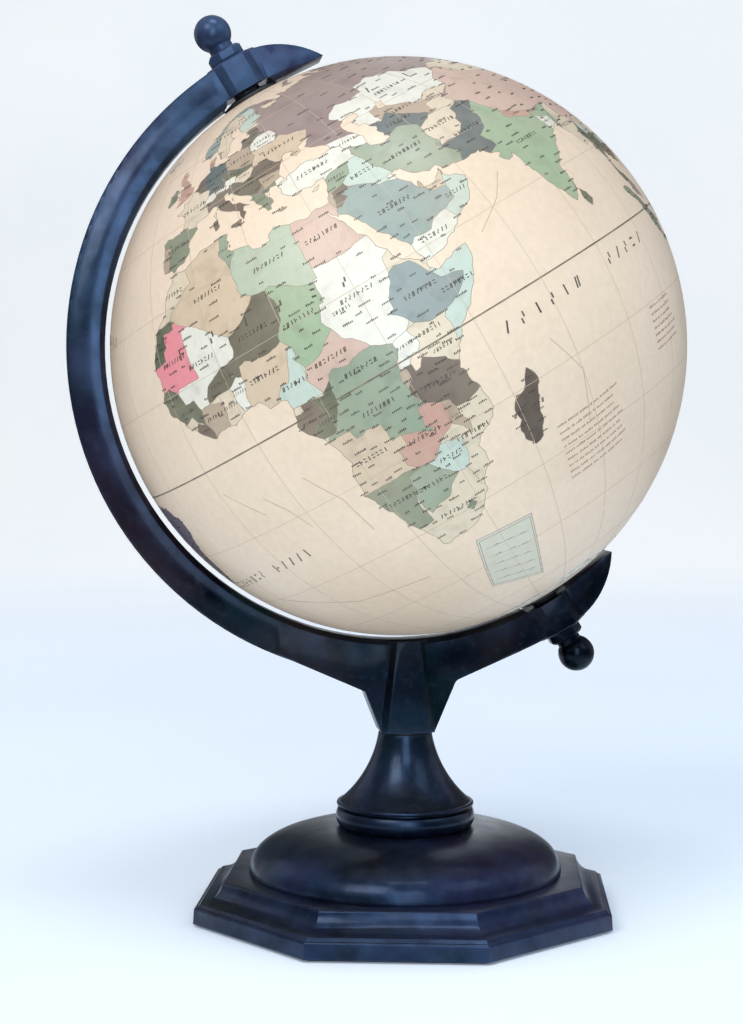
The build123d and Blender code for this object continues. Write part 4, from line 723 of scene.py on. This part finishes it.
# Abstract marks, drawn in a unit square: none of them is a letter.
STROKES = [
    [((0.1, 0), (0.1, 1)), ((0.45, 0.5), (0.85, 0.5))],
    [((0.2, 0), (0.8, 1))],
    [((0, 0), (0.35, 1)), ((0.5, 0), (0.85, 1))],
    [((0.2, 0), (0.2, 0.45)), ((0.7, 0.55), (0.7, 1))],
    [((0.1, 0.12), (0.8, 0.12)), ((0.1, 0.88), (0.8, 0.88))],
    [((0.5, 0), (0.5, 1))],
]


class Writer:
    """Sets rows of generic marks where a map has lettering. They spell nothing."""

    def __init__(self, ink, seed):
        self.ink = ink
        self.random = random.Random(seed)

    def place(self, start, right, up, across, rise):
        return (start + right * (across / RADIUS) + up * (rise / RADIUS)).normalized()

    def mark(self, start, right, up, left_end, right_end, low, high):
        corners = [(left_end, low), (right_end, low), (right_end, high), (left_end, high)]
        self.ink.quad([self.place(start, right, up, x, y) for x, y in corners])

    def axes(self, longitude, latitude):
        """Start, rightward and upward directions for a row along its parallel."""
        start = outward(longitude, latitude)
        right = NORTH.cross(start).normalized()
        return start, right, start.cross(right)

    def word(self, longitude, latitude, count, height):
        """A short row of small upright marks, centred on a place."""
        start, right, up = self.axes(longitude, latitude)
        pitch = height * MARK_PITCH
        for k in range(count):
            left = (k - count / 2) * pitch
            tall = height * self.random.choice((SHORT, SHORT, 1.0))
            self.mark(start, right, up, left, left + pitch * MARK_WIDTH, 0, tall)

    def spaced(self, longitude, latitude, count, height, pitch, centred=False, weight=0.18):
        """A spaced row of stroke marks that starts at a place, or is centred on it."""
        start, right, up = self.axes(longitude, latitude)
        first = -count / 2 if centred else 0
        for k in range(count):
            left = (first + k) * pitch
            for a, b in self.random.choice(STROKES):
                ends = [(left + x * height * SHORT, y * height) for x, y in (a, b)]
                p, q = (self.place(start, right, up, x, y) for x, y in ends)
                self.ink.bar(p, q, height * weight)

    def block(self, longitude, latitude, rows, count, height, lead):
        """Rows of small words, ranged left, going down from a place."""
        start, right, up = self.axes(longitude, latitude)
        for row in range(rows):
            x = 0.0
            while x < count * height:
                for _ in range(self.random.randint(2, 7)):
                    tall = height * self.random.choice((SHORT, 1.0))
                    low = -row * lead
                    self.mark(start, right, up, x, x + height * NOTE_WIDTH, low, low + tall)
                    x += height * NOTE_PITCH
                x += height * SHORT


# ---- what is printed --------------------------------------------------------------------
def grid_ink():
    ink = Ink()
    for longitude in range(0, 360, GRID_DEGREES):
        ink.line([(longitude, -78), (longitude, 78)], GRID_INK)
    for latitude in range(-75, 76, GRID_DEGREES):
        if latitude:
            ink.line([(0, latitude), (360, latitude)], GRID_INK)
    return ink


def equator_ink():
    ink = Ink()
    ink.line([(0, 0), (360, 0)], EQUATOR_INK)
    return ink


def border_ink(halves):
    ink = Ink()
    for half in halves:
        for a, b, coast in half.borders():
            ink.bar(a, b, COAST_INK if coast else BORDER_INK)
    return ink


def name_places(half):
    """(longitude, latitude, reach in metres) of each painted land or country."""
    corners = half.outward[half.faces]
    area = np.linalg.norm(np.cross(corners[:, 1] - corners[:, 0], corners[:, 2] - corners[:, 0]), axis=1)
    out = []
    for number in range(1, len(half.tints)):
        chosen = half.label == number
        if not chosen.any():
            continue
        middle = (corners[chosen].mean(1) * area[chosen, None]).sum(0)
        reach = math.sqrt(area[chosen].sum() / 2) * RADIUS
        out.append((*place_of(Vector(middle).normalized()), reach))
    return out


def place_of(direction):
    """(longitude, latitude) that a unit vector points to."""
    turn = math.degrees(math.atan2(direction.dot(FRONT), direction.dot(WEST)))
    return turn + WEST_OF_ARM, math.degrees(math.asin(direction.dot(NORTH)))


def town_places(half, seed):
    """Scattered places on land, none nearer to another than the gap."""
    dice = random.Random(seed)
    land = half.outward[half.faces[half.label > 0]].mean(1)
    taken = []
    for _ in range(TOWNS * TOWN_TRIES):
        chosen = land[dice.randrange(len(land))]
        if all(np.linalg.norm(chosen - other) * RADIUS > TOWN_GAP for other in taken):
            taken.append(chosen)
        if len(taken) == TOWNS:
            break
    return [place_of(Vector(p).normalized()) for p in taken]


def lettering_ink(halves):
    """Stand-ins for the names of countries and towns."""
    ink = Ink()
    writer = Writer(ink, 5)
    dice = random.Random(9)
    for half in halves:
        for longitude, latitude, reach in name_places(half):
            if reach > NAME_REACH:
                size = min(NAME_SIZE, reach / 8)
                letters = min(8, round(reach / size / 1.25))
                writer.spaced(longitude, latitude, letters, size, size * 1.15, centred=True, weight=0.24)
        for longitude, latitude in town_places(half, half.side + 3):
            writer.word(longitude, latitude, dice.randint(3, 7), TOWN_SIZE)
    return ink


def title_ink():
    """Large spaced marks over the oceans and continents."""
    ink = Ink()
    writer = Writer(ink, 21)
    # Where a row starts, how many marks it has, their height and their pitch in millimetres.
    for longitude, latitude, count, height, pitch in (
        (49, -5.2, 6, 3.4, 6.3),
        (76, -4.6, 5, 3.4, 5.6),
        (-42, -24.5, 8, 3.0, 4.3),
        (-18, -23.5, 5, 3.2, 4.3),
        (-8.5, 20, 6, 3.4, 14.5),
        (-165, 8, 7, 3.4, 6.5),
        (-160, -18, 7, 3.4, 6.5),
        (-60, 32, 8, 3.2, 5.2),
        (62, 50, 4, 3.0, 17.0),
        (-112, 47, 7, 2.8, 8.5),
        (-64, -6, 7, 2.8, 5.2),
        (122, -24, 9, 2.6, 5.8),
    ):
        writer.spaced(longitude, latitude, count, height * MM, pitch * MM)
    return ink


def note_ink():
    """Small print: two blocks of notes in the oceans, and fine lines for the currents."""
    ink = Ink()
    writer = Writer(ink, 33)
    writer.block(50.5, -25.2, 9, 30, NOTE_SIZE, 2.6 * MM)
    writer.block(83, -16, 7, 20, NOTE_SIZE, 2.4 * MM)
    writer.block(-122, -30, 8, 30, NOTE_SIZE, 2.4 * MM)
    for line in (
        ((-14, -5), (-8, -12)),
        ((-6, -9), (-3, -13), (-1, -18)),
        ((4, -9), (8, -16), (9, -24)),
        ((-30, -30), (-10, -38), (10, -40)),
        ((55, 12), (62, 16), (66, 20)),
        ((56, -10), (60, -18), (58, -28)),
    ):
        ink.line(line, FLOW_INK)
    return ink


# Corners of the panel: top left, top right, low right, low left.
INSET = ((24.5, -37.5), (38.5, -38.5), (35.5, -58), (19.5, -52.5))


def between(a, b, share):
    return tuple(p + (q - p) * share for p, q in zip(a, b))


def inset_panel():
    """A pale ruled panel in the southern ocean, cut in small slabs that follow the ball."""
    ink = Ink()
    top_left, top_right, low_right, low_left = INSET
    for row in range(INSET_CELLS):
        for column in range(INSET_CELLS):
            corners = []
            for c, r in ((0, 0), (0, 1), (1, 1), (1, 0)):
                left = between(top_left, low_left, (row + r) / INSET_CELLS)
                right = between(top_right, low_right, (row + r) / INSET_CELLS)
                corners.append(outward(*between(left, right, (column + c) / INSET_CELLS)))
            ink.quad(corners)
    return ink


def inset_ink():
    """The panel's double frame, its rule lines and a few small rows of marks."""
    ink = Ink()
    top_left, top_right, low_right, low_left = INSET
    outline = [top_left, top_right, low_right, low_left, top_left]
    middle = between(between(top_left, low_right, 0.5), between(top_right, low_left, 0.5), 0.5)
    for share in (0.0, 0.07):
        ink.line([between(place, middle, share) for place in outline], FRAME_INK)
    writer = Writer(ink, 12)
    for share in (0.2, 0.36, 0.52, 0.68, 0.84):
        left = between(top_left, low_left, share)
        right = between(top_right, low_right, share)
        ink.line([between(left, right, 0.12), between(left, right, 0.88)], RULE_INK)
        for place in (0.3, 0.55, 0.78):
            writer.word(*between(left, right, place), 4, INSET_SIZE)
    return ink


# ---- materials --------------------------------------------------------------------------
def linear(colour):
    """Linear red, green and blue from 0-255 display values."""
    out = []
    for value in colour:
        v = value / 255
        out.append(v / 12.92 if v <= 0.04045 else ((v + 0.055) / 1.055) ** 2.4)
    return tuple(out)


def rgba(*colour):
    return (*linear(colour), 1.0)


class Nodes:
    """A material's node tree; each method adds a node and returns its output."""

    def __init__(self, name):
        self.material = bpy.data.materials.new(name)
        self.material.use_nodes = True
        self.tree = self.material.node_tree
        self.surface = self.tree.nodes["Principled BSDF"]
        self.place = self.add("ShaderNodeTexCoord").outputs["Object"]

    def add(self, kind, inputs=None, **settings):
        made = self.tree.nodes.new(kind)
        for key, value in settings.items():
            setattr(made, key, value)
        for key, value in (inputs or {}).items():
            self.feed(made.inputs[key], value)
        return made

    def feed(self, socket, value):
        if isinstance(value, bpy.types.NodeSocket):
            self.tree.links.new(value, socket)
        else:
            socket.default_value = value

    def noise(self, scale, detail=4.0, stretch=(1, 1, 1)):
        spot = self.add("ShaderNodeMapping", {"Vector": self.place, "Scale": stretch})
        inputs = {"Vector": spot.outputs[0], "Scale": scale, "Detail": detail}
        return self.add("ShaderNodeTexNoise", inputs).outputs[0]

    def scaled(self, value, low, high, to_low=0.0, to_high=1.0):
        inputs = {0: value, 1: low, 2: high, 3: to_low, 4: to_high}
        return self.add("ShaderNodeMapRange", inputs).outputs[0]

    def mix(self, share, a, b, blend="MIX"):
        made = self.add("ShaderNodeMix", data_type="RGBA", blend_type=blend)
        for index, value in ((0, share), (6, a), (7, b)):
            self.feed(made.inputs[index], value)
        return made.outputs[2]

    def math(self, kind, a, b=0.0):
        return self.add("ShaderNodeMath", {0: a, 1: b}, operation=kind).outputs[0]

    def bump(self, height, strength, distance, normal=None):
        inputs = {"Height": height, "Strength": strength, "Distance": distance}
        if normal is not None:
            inputs["Normal"] = normal
        return self.add("ShaderNodeBump", inputs).outputs[0]

    def edges(self, radius):
        """1 on convex and concave edges, 0 on open surface."""
        soft = self.add("ShaderNodeBevel", {"Radius": radius}, samples=6).outputs[0]
        true = self.add("ShaderNodeNewGeometry").outputs["Normal"]
        inputs = {0: soft, 1: true}
        same = self.add("ShaderNodeVectorMath", inputs, operation="DOT_PRODUCT").outputs["Value"]
        return self.scaled(self.math("SUBTRACT", 1.0, same), 0.01, 0.18)

    def finish(self, **values):
        for key, value in values.items():
            self.feed(self.surface.inputs[key.replace("_", " ")], value)
        return self.material


def lacquer_colour(n, high, brown, rubbed):
    """Black, clouded with blue green and purple, with a painted blue reflection low down and a painted
    pale blue sheen near the top.
    """
    cloud = n.scaled(n.noise(34, 5), 0.47, 0.62)
    patch = n.scaled(n.noise(19, 4), 0.47, 0.64)
    speck = n.scaled(n.noise(300, 3), 0.56, 0.76)
    colour = n.mix(cloud, rgba(3, 3, 5), rgba(6, 24, 26))
    colour = n.mix(patch, colour, n.mix(brown, rgba(30, 16, 38), rgba(36, 24, 20)))
    # Painted sheen: high up, on the arm's top, horns and finial, the lacquer is mixed toward pale blue
    # in place of reflected light.
    painted_top_sheen = n.math("MULTIPLY", n.scaled(high, 0.14, 0.32), n.scaled(n.noise(55, 5), 0.3, 0.62))
    # Painted reflection: haze mixes the low pieces, plinth and dome, toward blue in place of the light
    # they mirror.
    haze = n.math("MULTIPLY", n.scaled(high, 0.045, 0.0), n.scaled(n.noise(42, 5), 0.38, 0.6))
    for amount, part, tint in (
        (0.75, painted_top_sheen, (62, 84, 112)),
        (0.75, haze, (18, 28, 56)),
        (0.3, speck, (46, 54, 64)),
        (0.3, rubbed, (84, 98, 128)),
    ):
        colour = n.mix(n.math("MULTIPLY", part, amount), colour, rgba(*tint))
    return colour


def lacquer():
    """Near-black gloss lacquer, cool and cloudy, brownish on the arm's foot, rubbed on its edges."""
    n = Nodes("black_lacquer")
    high = n.add("ShaderNodeSeparateXYZ", {0: n.place}).outputs["Z"]
    brown = n.math("SUBTRACT", n.scaled(high, 0.05, 0.08), n.scaled(high, 0.11, 0.2))
    rubbed = n.math("MULTIPLY", n.edges(1.1 * MM), n.scaled(n.noise(90, 4), 0.35, 0.65))
    rough = n.scaled(n.noise(48, 5), 0.3, 0.7, 0.24, 0.44)
    peel = n.bump(n.noise(260, 3), 0.25, 0.12 * MM)
    cloudy = n.scaled(n.noise(120, 5), 0.36, 0.6, 0.5, 1.0)
    gloss = n.math("SUBTRACT", 0.8, n.math("MULTIPLY", brown, 0.55))
    return n.finish(
        Base_Color=lacquer_colour(n, high, brown, rubbed),
        Roughness=n.math("ADD", rough, n.math("MULTIPLY", rubbed, 0.15)),
        Normal=n.bump(n.noise(60, 4, (1, 1, 0.25)), 0.35, 0.45 * MM, peel),
        Specular_IOR_Level=n.math("MULTIPLY", gloss, cloudy),
        Specular_Tint=rgba(150, 192, 255),
        Coat_Weight=0.1,
        Coat_Roughness=0.1,
    )


def paper():
    """Varnished parchment print: the tint attribute, mottled, foxed and slightly rubbed."""
    n = Nodes("printed_parchment")
    tint = n.add("ShaderNodeVertexColor", layer_name="tint")
    wash = n.scaled(n.noise(30, 6), 0.32, 0.7)
    grain = n.scaled(n.noise(420, 4), 0.3, 0.7)
    stain = n.scaled(n.noise(13, 5), 0.52, 0.78)
    land = tint.outputs["Alpha"]
    faded = n.math("MULTIPLY", land, n.scaled(wash, 0.0, 1.0, 0.0, 0.22))
    colour = n.mix(faded, tint.outputs["Color"], rgba(222, 204, 176))
    colour = n.mix(n.math("MULTIPLY", stain, 0.3), colour, rgba(205, 176, 140))
    colour = n.mix(n.math("MULTIPLY", grain, 0.1), colour, rgba(150, 120, 90))
    patchy = n.math("MULTIPLY", land, n.scaled(n.noise(150, 5), 0.52, 0.74, 0.0, 0.2))
    colour = n.mix(patchy, colour, rgba(96, 84, 72), "MULTIPLY")
    rough = n.scaled(n.noise(70, 4), 0.3, 0.7, 0.34, 0.5)
    fibre = n.bump(n.noise(700, 4), 0.12, 0.05 * MM)
    return n.finish(
        Base_Color=colour, Roughness=rough, Normal=fibre, Coat_Weight=0.18, Coat_Roughness=0.3
    )


def ink(name, colour, faint):
    """Printing ink that has worn thin in places."""
    n = Nodes(name)
    thin = n.scaled(n.noise(180, 4), 0.35, 0.75, 0.0, faint)
    shade = n.mix(thin, rgba(*colour), rgba(205, 186, 158))
    rough = n.scaled(n.noise(300, 3), 0.3, 0.7, 0.42, 0.6)
    return n.finish(Base_Color=shade, Roughness=rough, Normal=n.bump(rough, 0.1, 0.03 * MM))


def worn(name, dark, light, rough, metal=0.0, grain=200, wear=(190, 190, 190), relief=0.2):
    """A plain finish with mottled colour, uneven gloss, fine relief and rubbed edges."""
    n = Nodes(name)
    colour = n.mix(n.scaled(n.noise(grain / 6, 5), 0.32, 0.68), rgba(*dark), rgba(*light))
    rubbed = n.math("MULTIPLY", n.edges(0.5 * MM), n.scaled(n.noise(grain, 4), 0.35, 0.7))
    colour = n.mix(n.math("MULTIPLY", rubbed, 0.4), colour, rgba(*wear))
    uneven = n.scaled(n.noise(grain / 2, 4), 0.3, 0.7, rough - 0.1, rough + 0.1)
    relief = n.bump(n.noise(grain * 3, 4), relief, 0.1 * MM)
    return n.finish(Base_Color=colour, Roughness=uneven, Metallic=metal, Normal=relief)


def felt():
    """Short dark green wool felt with a soft sheen."""
    n = Nodes("wool_felt")
    colour = n.mix(n.scaled(n.noise(900, 6), 0.3, 0.7), rgba(18, 30, 26), rgba(46, 60, 52))
    nap = n.bump(n.noise(1400, 6), 0.8, 0.25 * MM)
    return n.finish(Base_Color=colour, Roughness=0.95, Normal=nap, Sheen_Weight=0.5)


def backdrop():
    """Plain bluish white paper that glows a little and fades into the air far from the globe.

    Mirrored from in front or beside, it looks dark, which keeps the lacquer near black.
    """
    n = Nodes("studio_paper")
    spot = n.add("ShaderNodeSeparateXYZ", {0: n.place})
    light_path = n.add("ShaderNodeLightPath")
    sideways = n.math("ABSOLUTE", spot.outputs["X"])
    far = n.scaled(spot.outputs["Y"], 0.1, 1.7)
    front = n.scaled(spot.outputs["Y"], -0.2, -0.45)
    beside = n.scaled(sideways, 0.14, 0.5, 0.0, 0.9)
    hidden = n.math("MULTIPLY", light_path.outputs["Is Glossy Ray"], n.math("MAXIMUM", front, beside))
    away = n.math("MAXIMUM", n.scaled(sideways, 0.9, 2.6), n.scaled(spot.outputs["Y"], -0.9, -2.6))
    air = n.math("MULTIPLY", light_path.outputs["Is Camera Ray"], away)
    colour = n.mix(n.scaled(n.noise(3, 3), 0.35, 0.7), rgba(228, 238, 245), rgba(235, 242, 247))
    colour = n.mix(hidden, colour, rgba(20, 20, 22))
    glow = n.mix(far, rgba(226, 238, 255), rgba(255, 246, 226))
    strength = n.math("MULTIPLY", n.scaled(far, 0.0, 1.0, 0.17, 0.42), n.math("SUBTRACT", 1.0, hidden))
    return n.finish(
        Base_Color=n.mix(air, colour, rgba(0, 0, 0)),
        Roughness=0.9,
        Specular_IOR_Level=0.2,
        Normal=n.bump(n.noise(500, 3), 0.03, 0.1 * MM),
        Emission_Color=n.mix(air, glow, rgba(*AIR)),
        Emission_Strength=n.scaled(air, 0.0, 1.0, strength, AIR_GLOW),
    )


# ---- the stand and the hidden pieces: CAD nodes with soft edges and finishes ------------
def soften(node, width):
    """Weld the imported facets, round the sharp edges and shade the piece smooth."""
    weld = node.modifiers.new("weld", "WELD")
    weld.merge_threshold = 0.002 * MM
    bevel = node.modifiers.new("soft_edges", "BEVEL")
    bevel.width = width
    bevel.segments = 3
    bevel.limit_method = "ANGLE"
    bevel.angle_limit = SHARP
    bevel.harden_normals = True
    node.data.shade_smooth()


FINISHES = {
    "lacquer": lacquer(),
    "cap": worn("black_nylon", (20, 21, 23), (38, 38, 40), 0.5, wear=(90, 90, 92)),
    "iron": worn("cast_iron", (52, 50, 50), (84, 80, 78), 0.6, 0.7, 160, (130, 126, 120), 0.7),
    "board": worn("fibreboard", (92, 66, 44), (124, 94, 64), 0.85, 0.0, 500, (160, 130, 96), 0.5),
    "zinc": worn("zinc_steel", (150, 152, 156), (196, 198, 202), 0.32, 1.0, 260, (225, 226, 230)),
    "brass": worn("brass", (170, 128, 62), (204, 164, 90), 0.3, 1.0, 220, (232, 204, 140)),
    "shell": worn("pressed_card", (150, 132, 108), (182, 164, 138), 0.9, 0.0, 400, (200, 184, 160)),
    "felt": felt(),
}

# The width in millimetres of each node's softened edges, under the name of its finish.
DRESS = {
    "lacquer": {
        "base_plinth": 0.5,
        "base_dome": 0.5,
        "stem_collar": 0.35,
        "stem": 0.4,
        "meridian_arm": 0.6,
        "top_finial": 0.3,
        "bottom_finial": 0.3,
    },
    "cap": {
        "stem_bush": 0.15,
        "north_spacer": 0.15,
        "south_spacer": 0.15,
        "north_pole_bush": 0.3,
        "south_pole_bush": 0.3,
    },
    "iron": {"base_weight": 0.8},
    "board": {"bottom_cover": 0.3},
    "zinc": {
        "cover_screws": 0.1,
        "rod_washer": 0.15,
        "spring_washer": 0.1,
        "tie_rod_nut": 0.2,
        "tie_rod": 0.1,
        "north_axle_pin": 0.1,
        "south_axle_pin": 0.1,
    },
    "felt": {"felt_pad": 0.3},
    "brass": {"arm_insert": 0.15},
    "shell": {
        "north_hemisphere": 0.2,
        "south_hemisphere": 0.2,
        "seam_ring": 0.2,
        "north_map": 0.05,
        "south_map": 0.05,
    },
}


def dress_nodes():
    for finish, widths in DRESS.items():
        for name, width in widths.items():
            node = frame["nodes"][name]
            node.data.materials.clear()
            node.data.materials.append(FINISHES[finish])
            soften(node, width * MM)


# ---- the printed ball -------------------------------------------------------------------
def on_globe(made, finish):
    made.data.materials.append(finish)
    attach(made, "globe")


def print_globe():
    layers = []
    for text, stray in ((LANDS, COAST_WANDER), (LAKES, COAST_WANDER), (COUNTRIES, BORDER_WANDER)):
        outlines = read_outlines(text)
        layers.append([(tint, wandered(points, stray)) for tint, points in outlines])
    halves = [MapHalf(side, *layers) for side in (1, -1)]
    sheet = paper()
    for half, name, node in zip(halves, ("north_print", "south_print"), ("north_map", "south_map")):
        made = half.build(name)
        on_globe(made, sheet)
        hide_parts(node)
    for name, layer, ink_name, colour, faint in (
        ("border_lines", border_ink(halves), "border_ink", (140, 118, 98), 0.5),
        ("grid_lines", grid_ink(), "grid_ink", (196, 172, 146), 0.7),
        ("equator_line", equator_ink(), "equator_ink", (104, 88, 68), 0.4),
        ("name_marks", lettering_ink(halves), "name_ink", (50, 38, 34), 0.2),
        ("title_marks", title_ink(), "title_ink", (66, 54, 56), 0.25),
        ("note_marks", note_ink(), "note_ink", (160, 118, 100), 0.5),
        ("inset_panel", inset_panel(), "panel_tint", (214, 207, 184), 0.3),
        ("inset_lines", inset_ink(), "inset_ink", (138, 116, 98), 0.4),
    ):
        on_globe(layer.build(name), ink(ink_name, colour, faint))


# ---- studio -----------------------------------------------------------------------------
def studio_floor():
    """A pale floor that curves up into a backdrop."""
    half, back, front, bend, top, steps = 5.0, 1.6, -5.0, 0.8, 3.2, 16
    profile = [(front, 0.0), (back, 0.0)]
    for step in range(1, steps + 1):
        turn = math.pi / 2 * step / steps
        profile.append((back + bend * math.sin(turn), bend * (1 - math.cos(turn))))
    profile.append((back + bend, top))
    points = [(side * half, y, z) for y, z in profile for side in (-1, 1)]
    faces = [(2 * k, 2 * k + 1, 2 * k + 3, 2 * k + 2) for k in range(len(profile) - 1)]
    mesh = bpy.data.meshes.new("studio_floor")
    mesh.from_pydata(points, [], faces)
    mesh.shade_smooth()
    mesh.materials.append(backdrop())
    linked("studio_floor", mesh)


def softbox(name, place, aim, size, power, colour):
    lamp = bpy.data.lights.new(name, "AREA")
    lamp.shape = "RECTANGLE"
    lamp.size, lamp.size_y = size
    lamp.energy = power
    lamp.color = colour
    made = linked(name, lamp)
    made.location = place
    made.rotation_euler = (Vector(aim) - Vector(place)).to_track_quat("-Z", "Y").to_euler()


def studio_air():
    """Pale to the eye; light and reflections find it bright above and dark low down."""
    world = bpy.data.worlds.new("studio_air")
    world.use_nodes = True
    tree = world.node_tree
    seen = tree.nodes["Background"]
    seen.inputs["Color"].default_value = rgba(*AIR)
    seen.inputs["Strength"].default_value = AIR_GLOW
    lit = tree.nodes.new("ShaderNodeBackground")
    lit.inputs["Color"].default_value = rgba(206, 222, 255)
    direction = tree.nodes.new("ShaderNodeTexCoord").outputs["Generated"]
    split = tree.nodes.new("ShaderNodeSeparateXYZ")
    height = tree.nodes.new("ShaderNodeMapRange")
    for index, value in enumerate((-0.1, 0.7, 0.03, 0.5), 1):
        height.inputs[index].default_value = value
    eye = tree.nodes.new("ShaderNodeLightPath").outputs["Is Camera Ray"]
    choice = tree.nodes.new("ShaderNodeMixShader")
    for start, end in (
        (direction, split.inputs[0]),
        (split.outputs["Z"], height.inputs[0]),
        (height.outputs[0], lit.inputs["Strength"]),
        (eye, choice.inputs[0]),
        (lit.outputs[0], choice.inputs[1]),
        (seen.outputs[0], choice.inputs[2]),
        (choice.outputs[0], tree.nodes["World Output"].inputs["Surface"]),
    ):
        tree.links.new(start, end)
    return world


def studio_light():
    bpy.context.scene.view_settings.view_transform = "Standard"
    bpy.context.scene.world = studio_air()
    middle = (0.0, 0.0, 0.17)
    softbox("key", (-0.75, -1.3, 1.35), middle, (0.9, 0.9), 13.0, (1.0, 0.94, 0.85))
    softbox("sheen", (0.85, -0.55, 1.05), middle, (0.7, 0.7), 2.0, (0.86, 0.96, 1.0))
    softbox("window", (0.12, -1.15, 0.42), middle, (0.45, 0.9), 6.0, (0.72, 0.88, 1.0))
    softbox("top", (0.05, -0.4, 1.6), middle, (0.55, 0.4), 6, (0.9, 0.96, 1.0))
    softbox("rim_left", (-1.2, 0.7, 0.45), middle, (0.8, 1.1), 1.4, (0.8, 0.84, 1.0))
    softbox("rim_right", (1.2, 0.6, 0.45), middle, (0.8, 1.1), 1.4, (0.8, 0.84, 1.0))


def make_camera():
    lens = bpy.data.cameras.new("camera")
    lens.lens = CAMERA_LENS
    made = linked("camera", lens)
    made.location = CAMERA_AT
    made.rotation_euler = (math.pi / 2 - CAMERA_DROP, 0, CAMERA_TURN)
    bpy.context.scene.camera = made


dress_nodes()
print_globe()
studio_floor()
studio_light()
make_camera()
